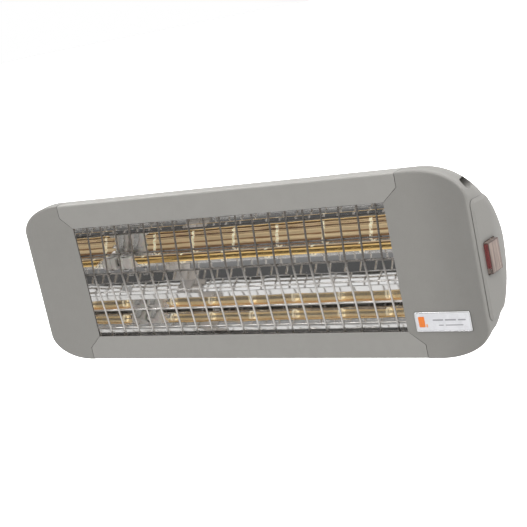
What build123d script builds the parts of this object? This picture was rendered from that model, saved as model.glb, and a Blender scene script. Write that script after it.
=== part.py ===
from build123d import *
import os
from math import atan2, cos, hypot, radians, sin, tan

os.makedirs("parts", exist_ok=True)

# Infrared heat lamp unit on a tilting wall bracket.
# Frame: X runs along the unit, Y points from the unit's face to the wall, Z is up.
# The origin is the centre of the wall foot's back face, so the wall is the plane Y = 0.
# Depths are measured from the unit's face plane towards the wall.
# Left is the -X end and right the +X end.

# ---------------------------------------------------------------- driving dimensions
FACE_Y = -153.0          # face plane
DEPTH = 95.0             # face to back of the casing
FACE_HALF = 75.0         # half height of the face
BACK_HALF = 38.0         # half height of the back
FLAT_DEPTH = 20.0        # depth of the flat top before the taper
WALL = 2.0               # extruded casing wall
HOUSING_HALF = 178.5     # half length of the extruded casing
WIN_HALF_X = 165.0       # window half length
WIN_HALF_Z = 52.5        # window half height
SEAM = 0.4               # seam between casing and end cap, filled by the seal
CAP_X0 = HOUSING_HALF + SEAM
MITRE_Z = 63.5           # where the mitred seam meets the casing's end
RIM_R = 2.0              # rounding of the face rim
BACK_R = 8.0             # rounding of the back edges
SCREW_DEPTH = 22.0       # cap screw axis
SCREW_Z = 59.0
TUBE_R = 5.3             # lamp tube
TUBE_DEPTH = 68.0
SHEET = 0.8              # reflector sheet
PIVOT_Y = -32.0          # tilt axis
EAR_R = 12.0             # round end of the bracket ears

# Casing section, upper half: depth, height, corner radius
SECTION = [(0, FACE_HALF, RIM_R), (FLAT_DEPTH, FACE_HALF, 25.0), (DEPTH, BACK_HALF, BACK_R)]

SIDES = ((1, "right"), (-1, "left"))


# ---------------------------------------------------------------- helpers
def dy(depth):
    """Y of a depth behind the face plane"""
    return FACE_Y + depth


def at_x(x):
    """Plane across X: sketches on it are in (Y, Z), extrusions run towards +X"""
    return Plane.YZ.offset(x)


def at_y(y):
    """Plane across Y: sketches on it are in (X, Z), extrusions run towards -Y"""
    return Plane.XZ.offset(-y)


def at_depth(depth):
    """Plane across Y at a depth: extrusions run towards the face"""
    return at_y(dy(depth))


def with_mirror(rows):
    """Rows that start with (position, z), followed by their images below Z = 0"""
    return rows + [(row[0], -row[1], *row[2:]) for row in reversed(rows)]


def extruded(plane, spots, length, shape, *sizes, bore=0.0):
    """A shape drawn at each spot of a plane, with an optional round bore, and extruded"""
    with BuildPart() as piece:
        with BuildSketch(plane):
            with Locations(*spots):
                shape(*sizes)
                if bore:
                    Circle(bore, mode=Mode.SUBTRACT)
        extrude(amount=length)
    return piece.part


def hexagon(apothem):
    """Hexagon by its centre-to-flat distance, in the active sketch"""
    RegularPolygon(apothem, 6, major_radius=False)


def cross(arm, width):
    """Driver cross, in the active sketch"""
    Rectangle(arm, width)
    Rectangle(width, arm)


def slab(depth, z, thickness, height, mode=Mode.ADD):
    """Rectangle about a depth and height, in the active sketch across X"""
    with Locations((dy(depth), z)):
        Rectangle(thickness, height, mode=mode)


def cut(tool):
    """Subtract a solid from the active part"""
    add(tool, mode=Mode.SUBTRACT)


def save(part, name):
    """Label a part and write its file"""
    part.label = name
    export_step(part, "parts/" + name + ".step")


def rounded_outline(corners, inset=0.0):
    """Lines and tangent arcs in the active line block, drawn inset.
    The corners are (depth, z, radius) of the upper half, and run clockwise in (Y, Z)."""
    corners = with_mirror(corners)
    points = [Vector(dy(depth), z) for depth, z, _ in corners]
    sides = []               # a point on each inset side, and the side's direction
    for start, end in zip(points, points[1:] + points[:1]):
        along = (end - start).normalized()
        sides.append((start + Vector(along.Y, -along.X) * inset, along))
    ends = []                # where each corner's arc starts and ends
    for i, (_, _, full_radius) in enumerate(corners):
        (start_in, dir_in), (start_out, dir_out) = sides[i - 1], sides[i]
        turn = dir_in.cross(dir_out).Z
        corner = start_in + dir_in * ((start_out - start_in).cross(dir_out).Z / turn)
        radius = max(full_radius - inset, 0.0)
        arc_start = arc_end = corner
        if radius > 0.01:
            half_angle = 0.5 * atan2(abs(turn), dir_in.dot(dir_out))
            setback = radius * tan(half_angle)
            arc_start = corner - dir_in * setback
            arc_end = corner + dir_out * setback
            inward = ((arc_start + arc_end) * 0.5 - corner).normalized()
            middle = corner + inward * (radius / cos(half_angle) - radius)
            ThreePointArc(arc_start, middle, arc_end)
        ends.append((arc_start, arc_end))
    for i in range(len(ends)):
        start, end = ends[i][1], ends[(i + 1) % len(ends)][0]
        if (end - start).length > 1e-4:
            Line(start, end)


# ---------------------------------------------------------------- casing
LIP_Z, LIP_HEIGHT, LIP_T = 65.6, 15.4, 1.2      # lips inside the top and bottom walls
GROOVE_DEPTH = 11.75                            # middle of the reflector's groove
CHANNEL_DEPTH = 90.0                            # middle of the back channel
MITRE_CUT_DEPTH = 2.1

with BuildPart() as housing:
    with BuildSketch(at_x(-HOUSING_HALF)):
        with BuildLine():
            rounded_outline(SECTION)
        make_face()
        with BuildSketch(mode=Mode.SUBTRACT):
            with BuildLine():
                rounded_outline(SECTION, WALL)
            make_face()
        # window
        slab(0, 0, 6, 2 * WIN_HALF_Z, Mode.SUBTRACT)
        for s in (1, -1):
            # guard groove lips, reflector groove lip, screw port with its web
            slab(5.5, s * LIP_Z, LIP_T, LIP_HEIGHT)
            slab(GROOVE_DEPTH, s * LIP_Z, 4.1, LIP_HEIGHT)
            slab(GROOVE_DEPTH, s * 65.3, 1.7, 12.4, Mode.SUBTRACT)
            slab(15.6, s * LIP_Z, LIP_T, LIP_HEIGHT)
            with Locations((dy(SCREW_DEPTH), s * SCREW_Z)):
                Circle(4.0)
            slab(SCREW_DEPTH, s * 67.5, 2.0, 11.0)
            with Locations((dy(SCREW_DEPTH), s * SCREW_Z)):
                Circle(2.05, mode=Mode.SUBTRACT)
        # channel along the back for the T-head bolts: wall, hollow, slot
        slab(CHANNEL_DEPTH, 0, 10.0, 17.6)
        slab(CHANNEL_DEPTH, 0, 6.0, 14.4, Mode.SUBTRACT)
        slab(94.5, 0, 4.0, 8.2, Mode.SUBTRACT)
    extrude(amount=2 * HOUSING_HALF)
    # mitred corners of the face strips, where the caps' tongues lie
    with BuildSketch(at_depth(MITRE_CUT_DEPTH)):
        for sx in (1, -1):
            for sz in (1, -1):
                with BuildLine():
                    Polyline((sx * WIN_HALF_X, sz * (WIN_HALF_Z - 1)),
                             (sx * WIN_HALF_X, sz * WIN_HALF_Z),
                             (sx * HOUSING_HALF, sz * MITRE_Z),
                             (sx * (HOUSING_HALF + 1), sz * MITRE_Z),
                             (sx * (HOUSING_HALF + 1), sz * (WIN_HALF_Z - 1)), close=True)
                make_face()
    extrude(amount=4.0, mode=Mode.SUBTRACT)
save(housing.part, "housing")

# ---------------------------------------------------------------- end cap form
CAP_WALL = 2.5
SIDE_X = 235.0           # cap's side, upright behind the face
SIDE_DEPTH = 30.7        # depth from which the side domes inward
DOME_DROP = 24.5         # how far the side has come in at the back
DOME_POWER = 1.56
LEAN = 7.6               # by how much the left cap's side leans in at the face
LEAN_DEPTH = 22.0
TAPER_BLEND = 5.8        # half length of the blend between flat top and taper
TAPER_WALL = 1.115       # height of a tapering wall per unit of its thickness
SLICE_DEPTHS = [6, 11, 15, 19, 23, 27, 33, 41, 51, 62, 73, 84]
# Elliptical corners: radius at the face and its change up to the back
CORNER_RX, CORNER_RX_CHANGE = 46.3, -4.9
CORNER_RZ, CORNER_RZ_CHANGE = 24.5, 33.0

# Raised panel on the right cap's side: depth, height, corner radius of the upper half
PANEL_CORNERS = [(4.0, 47.6, 5), (40, 45.6, 40), (88, 22.0, 10)]
PANEL_RISE = 1.7


def half_height(depth):
    """Half height of the casing's flat-and-taper side, with the blend between them"""
    slope = (FACE_HALF - BACK_HALF) / (DEPTH - FLAT_DEPTH)
    past_flat = depth - FLAT_DEPTH
    if past_flat < -TAPER_BLEND:
        return FACE_HALF
    if past_flat > TAPER_BLEND:
        return FACE_HALF - slope * past_flat
    return FACE_HALF - slope * (past_flat + TAPER_BLEND) ** 2 / (4 * TAPER_BLEND)


def side_x(depth):
    """X of the cap's side at mid height"""
    if depth < SIDE_DEPTH:
        return SIDE_X
    return SIDE_X - DOME_DROP * ((depth - SIDE_DEPTH) / (DEPTH - SIDE_DEPTH)) ** DOME_POWER


def cap_form(x0, inset, front_r, back_r, rise=0.0, lean=0.0):
    """Closed form of an end cap on the +X side, lofted from x0 outward and drawn inset"""
    with BuildPart() as form:
        for depth in [inset, *SLICE_DEPTHS, DEPTH - inset]:
            lean_in = lean * max(0.0, 1.0 - depth / LEAN_DEPTH) ** 2
            x = side_x(depth) + rise - inset - lean_in
            z = half_height(depth) - inset * (1.0 if depth < FLAT_DEPTH else TAPER_WALL)
            rx = min(CORNER_RX + CORNER_RX_CHANGE * depth / DEPTH - inset, x - CAP_X0 - 2)
            rz = min(CORNER_RZ + CORNER_RZ_CHANGE * depth / DEPTH - inset, z - 1.5)
            with BuildSketch(at_depth(depth)):
                with BuildLine():
                    Line((x0, -z), (x - rx, -z))
                    EllipticalCenterArc((x - rx, -z + rz), rx, rz, start_angle=270, arc_size=90)
                    Line((x, -z + rz), (x, z - rz))
                    EllipticalCenterArc((x - rx, z - rz), rx, rz, start_angle=0, arc_size=90)
                    Line((x - rx, z), (x0, z))
                    Line((x0, z), (x0, -z))
                make_face()
        loft()
        # round the face and back rims, but not the open edge at x0
        for end, radius in ((0, front_r), (-1, back_r)):
            if radius > 0:
                rim = form.faces().sort_by(Axis.Y)[end].outer_wire().edges()
                fillet([e for e in rim if e.center().X > x0 + 0.01], radius=radius)
    return form.part


def cap_solid(lean=0.0):
    """Outside of a cap on the +X side"""
    return cap_form(CAP_X0, 0.0, RIM_R, BACK_R, lean=lean)


def cap_void(lean=0.0):
    """Hollow of a cap on the +X side, which runs out through the open end"""
    return cap_form(CAP_X0 - 1.0, CAP_WALL, 1.0, 5.0, lean=lean)


def panel_form():
    """Raised side panel on the +X side: the side's own form moved out, cut to an outline"""
    with BuildPart() as panel:
        add(cap_form(CAP_X0, 0.0, 0.0, 0.0, rise=PANEL_RISE))
        with BuildSketch(at_x(CAP_X0 + 8)):
            with BuildLine():
                rounded_outline(PANEL_CORNERS)
            make_face()
        extrude(amount=60, mode=Mode.INTERSECT)
        # wide bevel round the panel, where its domed skin meets the side walls
        faces = panel.faces()
        wall_middles = [e @ 0.5 for f in faces if f.geom_type != GeomType.BSPLINE
                        for e in f.edges()]
        rim = [e for f in faces if f.geom_type == GeomType.BSPLINE for e in f.edges()
               if any((e @ 0.5 - middle).length < 1e-4 for middle in wall_middles)]
        chamfer(rim, length=2.8, length2=1.3)
    return panel.part


# ---------------------------------------------------------------- features of both caps
SCREW_SPOTS = [(dy(SCREW_DEPTH), SCREW_Z), (dy(SCREW_DEPTH), -SCREW_Z)]
POST_R = 4.9
SCREW_CLEARANCE_R = 2.2
COUNTERBORE_X, COUNTERBORE_R = 185.0, 4.0
POCKET_X, POCKET_DEPTH = 200.0, 17.0     # floor and middle of the tool pockets
POCKET_SPOTS = [(dy(POCKET_DEPTH), SCREW_Z), (dy(POCKET_DEPTH), -SCREW_Z)]
POCKET_RUN = 2 * (SCREW_DEPTH - POCKET_DEPTH)
TONGUE_T = 1.6
TONGUE_GAP = 0.3


def screw_posts(solid):
    """Screw posts of a cap on the +X side; towards the side they widen round the tool pocket"""
    with BuildPart() as posts:
        add(extruded(at_x(CAP_X0), SCREW_SPOTS, 60, Circle, POST_R))
        add(extruded(at_x(POCKET_X - 3), POCKET_SPOTS, 45,
                     SlotCenterToCenter, POCKET_RUN, 2 * POST_R))
        add(solid, mode=Mode.INTERSECT)
    return posts.part


def cut_screw_ways(side):
    """Cut clearance holes with deep counterbores, which open into wider tool pockets"""
    cut(extruded(at_x(side * (CAP_X0 - 1)), SCREW_SPOTS, side * 70, Circle, SCREW_CLEARANCE_R))
    cut(extruded(at_x(side * COUNTERBORE_X), SCREW_SPOTS, side * 70, Circle, COUNTERBORE_R))
    cut(extruded(at_x(side * POCKET_X), POCKET_SPOTS, side * 60,
                 SlotCenterToCenter, POCKET_RUN, 2 * COUNTERBORE_R))


def tongue(side):
    """Tongue that closes the face up to the window's side edge"""
    mitre_z = MITRE_Z - TONGUE_GAP
    outline = with_mirror([(WIN_HALF_X, WIN_HALF_Z - TONGUE_GAP),
                           (HOUSING_HALF + 0.2, mitre_z), (HOUSING_HALF + 4, mitre_z)])
    with BuildPart() as plate:
        with BuildSketch(at_depth(TONGUE_T)):
            with BuildLine():
                Polyline(*[(side * x, z) for x, z in outline], close=True)
            make_face()
        extrude(amount=TONGUE_T)
    return plate.part


# ---------------------------------------------------------------- right end cap
SWITCH_Y = dy(21.0)
SWITCH_SPOT = [(SWITCH_Y, 0)]
SEAT_X = 235.5           # flat seat for the switch and its boot
BADGE_SPOT = [(197.5, -44.65)]

CAP_SOLID = cap_solid()
with BuildPart() as end_cap_right:
    add(CAP_SOLID)
    add(panel_form())
    cut(cap_void())
    add(tongue(1))
    add(screw_posts(CAP_SOLID))
    cut_screw_ways(1)
    # switch seat and cut-out
    cut(extruded(at_x(SEAT_X), SWITCH_SPOT, 10, RectangleRounded, 20.0, 25.8, 1.2))
    cut(extruded(at_x(SEAT_X - 8), SWITCH_SPOT, 12, Rectangle, 13.0, 19.4))
    # shallow bed for the badge
    cut(extruded(at_depth(0.4), BADGE_SPOT, 2, RectangleRounded, 48.4, 16.4, 1.7))
save(end_cap_right.part, "end_cap_right")

# ---------------------------------------------------------------- left end cap
BLOCK_X, BLOCK_DEPTH, BLOCK_Z = -199.0, 23.0, -21.5       # terminal block
POLE_PITCH = 10.5
POLE_Z = [BLOCK_Z - POLE_PITCH, BLOCK_Z, BLOCK_Z + POLE_PITCH]
BLOCK_SCREW_SPOTS = [(BLOCK_X, BLOCK_Z - POLE_PITCH / 2), (BLOCK_X, BLOCK_Z + POLE_PITCH / 2)]
BLOCK_POST_DEPTH = 16.0  # free end of the terminal block's posts
EARTH_X, EARTH_Z = -195.0, 12.0
EARTH_SPOT = [(EARTH_X, EARTH_Z)]
EARTH_POST_DEPTH = 14.0  # free end of the earth screw's post
GLAND_Y = dy(50.0)
GLAND_SPOT = [(GLAND_Y, 0)]
GLAND_BOSS_X = -224.6    # inner end of the gland boss
GLAND_SEAT_X = -229.8    # spot face for the gland

LEFT_SOLID = cap_solid(LEAN)
with BuildPart() as end_cap_left:
    add(LEFT_SOLID)
    cut(cap_void(LEAN))
    add(screw_posts(LEFT_SOLID))
    mirror(about=Plane.YZ, mode=Mode.REPLACE)
    add(tongue(-1))
    add(extruded(at_x(GLAND_BOSS_X), GLAND_SPOT, -6.9, Circle, 14.5))
    # posts for the terminal block and the earth screw, on the inside of the face
    add(extruded(at_depth(BLOCK_POST_DEPTH), BLOCK_SCREW_SPOTS, 14.0, Circle, 3.5))
    add(extruded(at_depth(EARTH_POST_DEPTH), EARTH_SPOT, 12.0, Circle, 4.8))
    cut_screw_ways(-1)
    # spot face and hole for the gland
    cut(extruded(at_x(GLAND_SEAT_X), GLAND_SPOT, -12, Circle, 12.6))
    cut(extruded(at_x(-220), GLAND_SPOT, -20, Circle, 8.1))
    # pilot holes in the posts
    cut(extruded(at_depth(BLOCK_POST_DEPTH + 0.1), BLOCK_SCREW_SPOTS, 10.0, Circle, 1.55))
    cut(extruded(at_depth(EARTH_POST_DEPTH + 0.1), EARTH_SPOT, 9.0, Circle, 2.05))
save(end_cap_left.part, "end_cap_left")

# ---------------------------------------------------------------- seals between casing and caps
SEAL_GAP = 0.02          # at each side of a seal

for side, hand in SIDES:
    with BuildPart() as end_seal:
        with BuildSketch(at_x(side * (HOUSING_HALF + SEAL_GAP))):
            with BuildLine():
                rounded_outline(SECTION, 0.5)
            make_face()
            with BuildSketch(mode=Mode.SUBTRACT):
                with BuildLine():
                    rounded_outline(SECTION, WALL + 0.3)
                make_face()
            # open at the face, where the tongue passes
            slab(0, 0, 6, 2 * (MITRE_Z + 0.5), Mode.SUBTRACT)
        extrude(amount=side * (SEAM - 2 * SEAL_GAP))
    save(end_seal.part, "end_seal_" + hand)

# ---------------------------------------------------------------- cap screws, two in each cap
with BuildPart() as cap_screws:
    for side in (1, -1):
        add(extruded(at_x(side * 167.0), SCREW_SPOTS, side * 18.2, Circle, 1.97))
        add(extruded(at_x(side * (COUNTERBORE_X + 0.05)), SCREW_SPOTS, side * 2.6, Circle, 3.6))
        cut(extruded(at_x(side * 186.4), SCREW_SPOTS, side * 3, cross, 4.2, 0.9))
save(cap_screws.part, "cap_screws")

# ---------------------------------------------------------------- welded wire guard
# Folded along its length: upright wires in front, long wires and end wires behind them.
WIRE_R = 0.85
PITCH_X = 17.1           # guard mesh
PITCH_Z = 17.85
RIDGE_Z = 6.8            # fold line of the guard
GUARD_EDGE, GUARD_RIDGE = 7.0, 1.2       # depth of the front wires at the edges and the fold
GUARD_BEND_Z = 57.0      # where the upright wires turn into the grooves
GUARD_END_Z = 62.0
LAYER = 1.5              # depth step between crossing layers of wire
END_WIRE_X, END_WIRE_Z = 173.0, 55.5
EDGE_WIRE_Z = 60.3
LONG_WIRE_HALF, EDGE_WIRE_HALF = 174.5, 156.0


def guard_depth(z):
    """Depth of the front wires' centre line at a height"""
    edge = GUARD_BEND_Z if z > RIDGE_Z else -GUARD_BEND_Z
    share = min(1.0, (z - RIDGE_Z) / (edge - RIDGE_Z))
    return GUARD_RIDGE + (GUARD_EDGE - GUARD_RIDGE) * share


with BuildPart() as guard_grille:
    for i in range(-9, 10):
        with BuildLine(at_x(i * PITCH_X)) as run:
            Polyline((dy(GUARD_EDGE), -GUARD_END_Z), (dy(GUARD_EDGE), -GUARD_BEND_Z),
                     (dy(GUARD_RIDGE), RIDGE_Z),
                     (dy(GUARD_EDGE), GUARD_BEND_Z), (dy(GUARD_EDGE), GUARD_END_Z))
        with BuildSketch(Plane(origin=(i * PITCH_X, dy(GUARD_EDGE), -GUARD_END_Z),
                               z_dir=(0, 0, 1))):
            Circle(WIRE_R)
        sweep(path=run.line, transition=Transition.RIGHT)
    end_wire_y = dy(guard_depth(END_WIRE_Z) + 2 * LAYER)
    end_wire_low_y = dy(guard_depth(-END_WIRE_Z) + 2 * LAYER)
    for x in (-END_WIRE_X, END_WIRE_X):
        with BuildLine(at_x(x)) as run:
            Polyline((end_wire_low_y, -END_WIRE_Z), (dy(GUARD_RIDGE + 2 * LAYER), RIDGE_Z),
                     (end_wire_y, END_WIRE_Z))
        with BuildSketch(Plane(origin=run.line @ 0, z_dir=run.line % 0)):
            Circle(WIRE_R)
        sweep(path=run.line, transition=Transition.RIGHT)
    for z in [EDGE_WIRE_Z, -EDGE_WIRE_Z] + [RIDGE_Z + (2 - k) * PITCH_Z for k in range(6)]:
        half = LONG_WIRE_HALF if abs(z) < 58 else EDGE_WIRE_HALF
        wire_spot = [(dy(guard_depth(z) + LAYER), z)]
        add(extruded(at_x(-half), wire_spot, 2 * half, Circle, WIRE_R))
save(guard_grille.part, "guard_grille")

# ---------------------------------------------------------------- folded mirror reflector
# Inner surface of the upper half: depth, z
REFLECTOR = [(79.2, 0.0), (76.9, 12.5), (72.5, 21.8), (65.6, 32.9), (61.3, 36.5),
             (49.8, 42.9), (28.1, 50.5), (14.4, 55.6)]
# Flange that slides into the casing's groove: depth, z
REFLECTOR_FLANGE = [(14.0, 55.3), (15.0, 55.3), (14.8, 57.0), (14.8, 61.0), (14.0, 61.0)]
REFLECTOR_HALF = 181.0
RIM_GAP = 0.06           # between the reflector and the rims of its ends
RIM_DEPTH = 45           # the rims lie deeper than this
# The rivets sit in the middle of one facet, above and below
FACET_START, FACET_END = REFLECTOR[2], REFLECTOR[3]
FACET_LENGTH = hypot(FACET_END[0] - FACET_START[0], FACET_END[1] - FACET_START[1])
FACET_NORMAL = ((FACET_END[1] - FACET_START[1]) / FACET_LENGTH,
                (FACET_START[0] - FACET_END[0]) / FACET_LENGTH)
RIVET_DEPTH = (FACET_START[0] + FACET_END[0]) / 2
RIVET_Z = (FACET_START[1] + FACET_END[1]) / 2
RIVET_X = 177.6
RIVET_HOLE_R = 1.65
# Inner head, shank, outer head: start along the facet's normal, radius, length
RIVET_STEPS = ((-0.75, 2.9, 0.73), (-0.1, 1.6, 1.95), (1.72, 2.6, 0.9))


def reflector_line(offset, min_depth=0.0):
    """(Y, Z) points of the whole reflector moved outward, with mitred corners"""
    points = [(depth, -z) for depth, z in reversed(REFLECTOR[1:])] + REFLECTOR
    normals = []
    for (depth0, z0), (depth1, z1) in zip(points, points[1:]):
        length = hypot(depth1 - depth0, z1 - z0)
        normals.append(((z1 - z0) / length, (depth0 - depth1) / length))
    moved = []
    for i, (depth, z) in enumerate(points):
        near = normals[max(i - 1, 0):i + 1]
        mean_depth = sum(normal[0] for normal in near) / len(near)
        mean_z = sum(normal[1] for normal in near) / len(near)
        stretch = offset / (mean_depth * near[0][0] + mean_z * near[0][1])
        moved.append((depth + mean_depth * stretch, z + mean_z * stretch))
    return [(dy(depth), z) for depth, z in moved if depth > min_depth]


def rivet_plane(x, s, start):
    """Plane across a rivet's axis, start outward of the facet; s = 1 above, -1 below"""
    normal_depth, normal_z = FACET_NORMAL
    return Plane(origin=(x, dy(RIVET_DEPTH + start * normal_depth),
                         s * (RIVET_Z + start * normal_z)),
                 z_dir=(0, normal_depth, s * normal_z))


with BuildPart() as reflector:
    with BuildSketch(at_x(-REFLECTOR_HALF)):
        with BuildLine():
            Polyline(*reflector_line(0.0), *reversed(reflector_line(SHEET)), close=True)
        make_face()
        for s in (1, -1):
            with BuildLine():
                Polyline(*[(dy(depth), s * z) for depth, z in REFLECTOR_FLANGE], close=True)
            make_face()
    extrude(amount=2 * REFLECTOR_HALF)
    for s in (1, -1):
        for x in (-RIVET_X, RIVET_X):
            cut(extruded(rivet_plane(x, s, -2), [(0, 0)], 5, Circle, RIVET_HOLE_R))
save(reflector.part, "reflector")

CLIP_SCREW_SPOT = [(dy(75.4), 0)]
CLIP_HOLE_R = 1.3
RIM_IN = reflector_line(SHEET + RIM_GAP, RIM_DEPTH)
RIM_OUT = reflector_line(2 * SHEET + RIM_GAP, RIM_DEPTH)

for side, hand in SIDES:
    with BuildPart() as reflector_end:
        # end plate with openings for the cap screws, the lamp and the clip screw
        with BuildSketch(at_x(side * (REFLECTOR_HALF + 0.05))):
            with BuildLine():
                Polyline(*reflector_line(0.7), close=True)
            make_face()
            with BuildLine():
                Polyline(*RIM_OUT, close=True)
            make_face()
            with Locations(*SCREW_SPOTS):
                Circle(5.3, mode=Mode.SUBTRACT)
            with Locations((dy(TUBE_DEPTH), 0)):
                Circle(4.0, mode=Mode.SUBTRACT)
            with Locations(*CLIP_SCREW_SPOT):
                Circle(CLIP_HOLE_R, mode=Mode.SUBTRACT)
        extrude(amount=side * SHEET)
        # rim that laps over the reflector
        with BuildSketch(at_x(side * 174.5)):
            with BuildLine():
                Polyline(*RIM_IN, *reversed(RIM_OUT), close=True)
            make_face()
        extrude(amount=side * 6.6)
        for s in (1, -1):
            cut(extruded(rivet_plane(side * RIVET_X, s, -2), [(0, 0)], 6, Circle, RIVET_HOLE_R))
    save(reflector_end.part, "reflector_end_" + hand)

with BuildPart() as reflector_rivets:
    for s in (1, -1):
        for x in (-RIVET_X, RIVET_X):
            for start, radius, length in RIVET_STEPS:
                add(extruded(rivet_plane(x, s, start), [(0, 0)], length, Circle, radius))
save(reflector_rivets.part, "reflector_rivets")

# ---------------------------------------------------------------- lamp
TUBE_SPOT = [(dy(TUBE_DEPTH), 0)]
TUBE_HALF = 166.0
TUBE_BORE_R = TUBE_R - 1.1
TUBE_PLUG = 6.0          # solid length at each end of the tube
FILAMENT_HALF, FILAMENT_R = 159.7, 0.6
COIL_HALF, COIL_R = 150.0, 1.25
SUPPORT_X = (-149.0, -101.0, -52.5, -3.0, 47.0, 96.0, 145.0)
SUPPORT_T = 0.7

with BuildPart() as lamp_tube:
    add(extruded(at_x(-TUBE_HALF), TUBE_SPOT, 2 * TUBE_HALF, Circle, TUBE_R, bore=TUBE_BORE_R))
    for x in (-TUBE_HALF, TUBE_HALF - TUBE_PLUG):
        add(extruded(at_x(x), TUBE_SPOT, TUBE_PLUG, Circle, TUBE_R))
save(lamp_tube.part, "lamp_tube")

with BuildPart() as filament:
    for half, radius in ((FILAMENT_HALF, FILAMENT_R), (COIL_HALF, COIL_R)):
        add(extruded(at_x(-half), TUBE_SPOT, 2 * half, Circle, radius))
save(filament.part, "filament")

with BuildPart() as filament_supports:
    for x in SUPPORT_X:
        add(extruded(at_x(x - SUPPORT_T / 2), TUBE_SPOT, SUPPORT_T,
                     Circle, TUBE_BORE_R - 0.1, bore=COIL_R + 0.1))
save(filament_supports.part, "filament_supports")

for side, hand in SIDES:
    with BuildPart() as lamp_base:
        # collar round the tube's end, then the block behind it
        add(extruded(at_x(side * 163.8), TUBE_SPOT, side * 3.6,
                     RectangleRounded, 11.6, 12.0, 2.4))
        add(extruded(at_x(side * 167.0), TUBE_SPOT, side * 12.0,
                     RectangleRounded, 9.0, 12.0, 1.2))
        # sockets for the tube and for the lead
        cut(extruded(at_x(side * 163.0), TUBE_SPOT, side * 3.1, Circle, TUBE_R + 0.05))
        cut(extruded(at_x(side * 177.0), TUBE_SPOT, side * 4, Circle, 1.55))
    save(lamp_base.part, "lamp_base_" + hand)

# ---------------------------------------------------------------- lamp clips
# U-shaped clip round the lamp base, upper half: depth, z
CLIP_HALF = [(72.6, 6.05), (64.6, 6.05), (63.2, 6.9), (63.2, 7.7), (64.8, 6.75), (73.3, 6.75)]
CLIP_T = 0.7
CLIP_TAB_WIDTH = 7.0

for side, hand in SIDES:
    with BuildPart() as lamp_clip:
        with BuildSketch(at_x(side * 168.5)):
            with BuildLine():
                Polyline(*[(dy(depth), z) for depth, z in with_mirror(CLIP_HALF)], close=True)
            make_face()
        extrude(amount=side * 6.0)
        # tongue along X, then the foot screwed to the reflector's end
        add(extruded(at_x(side * 174.4), [(dy(72.95), 0)], side * 6.5,
                     Rectangle, CLIP_T, CLIP_TAB_WIDTH))
        with BuildSketch(at_x(side * 180.2)):
            slab(75.1, 0, 5.0, CLIP_TAB_WIDTH)
            with Locations(*CLIP_SCREW_SPOT):
                Circle(CLIP_HOLE_R, mode=Mode.SUBTRACT)
        extrude(amount=side * CLIP_T)
    save(lamp_clip.part, "lamp_clip_" + hand)

CLIP_NUT_APOTHEM = 2.6 * cos(radians(30))

with BuildPart() as clip_screws:
    for side in (1, -1):
        # head, shank, nut
        add(extruded(at_x(side * 178.9), CLIP_SCREW_SPOT, side * 1.25, Circle, 2.1))
        add(extruded(at_x(side * 180.0), CLIP_SCREW_SPOT, side * 5.0, Circle, 1.25))
        add(extruded(at_x(side * 181.9), CLIP_SCREW_SPOT, side * 2.0, hexagon, CLIP_NUT_APOTHEM))
save(clip_screws.part, "clip_screws")

# ---------------------------------------------------------------- badge
BADGE_WIDTH, BADGE_HEIGHT = 48.0, 16.1
BADGE_BORDER = 0.8       # raised border round the recessed front

with BuildPart() as badge:
    add(extruded(at_depth(0.38), BADGE_SPOT, 1.18,
                 RectangleRounded, BADGE_WIDTH, BADGE_HEIGHT, 1.5))
    cut(extruded(at_depth(-0.55), BADGE_SPOT, 1, RectangleRounded,
                 BADGE_WIDTH - 2 * BADGE_BORDER, BADGE_HEIGHT - 2 * BADGE_BORDER, 1.0))
save(badge.part, "badge")

# ---------------------------------------------------------------- rocker switch on the right cap
SWITCH_X = SEAT_X + 0.02     # underside of the switch's flange
SWITCH_BODY_X = 219.5        # inner end of the switch's body
ROCKER_X = 233.0             # rocker's pivot
ROCKER_PIVOT = [(ROCKER_X, 0)]
ROCKER_TILT = radians(7)     # pressed in at the top at rest
ROCKER_WIDTH = 10.2
ROCKER_PIN_HALF = 6.0
BLADE_Z = 4.8
BLADE_SPOTS = [(SWITCH_Y, BLADE_Z), (SWITCH_Y, -BLADE_Z)]
# Rocker's outline before tilting: distance out from the pivot, height along it
ROCKER_OUTLINE = [(-1.5, -7.6), (4.9, -7.6), (4.35, -3.9), (4.1, 0.0), (4.35, 3.9),
                  (4.9, 7.6), (-1.5, 7.6), (-3.2, 2.5), (-3.2, -2.5)]

with BuildPart() as switch_body:
    # flange and body
    add(extruded(at_x(SWITCH_X), SWITCH_SPOT, 1.58, RectangleRounded, 15.8, 23.4, 1.0))
    add(extruded(at_x(SWITCH_BODY_X), SWITCH_SPOT, 16.3, Rectangle, 12.8, 19.2))
    # well and pivot hole for the rocker
    cut(extruded(at_x(227.5), SWITCH_SPOT, 12, Rectangle, 10.4, 17.4))
    cut(extruded(at_y(SWITCH_Y + 6.12), ROCKER_PIVOT, 12.24, Circle, 1.25))
    # slots for the blades
    cut(extruded(at_x(SWITCH_BODY_X - 0.5), BLADE_SPOTS, 4.0, Rectangle, 4.9, 0.9))
save(switch_body.part, "switch_body")

with BuildPart() as switch_blades:
    add(extruded(at_x(211.5), BLADE_SPOTS, 11.4, Rectangle, 4.8, 0.8))
    for z in (BLADE_Z, -BLADE_Z):
        cut(extruded(Plane.XY.offset(z - 2), [(214.5, SWITCH_Y)], 4, Circle, 0.8))
save(switch_blades.part, "switch_blades")

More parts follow.
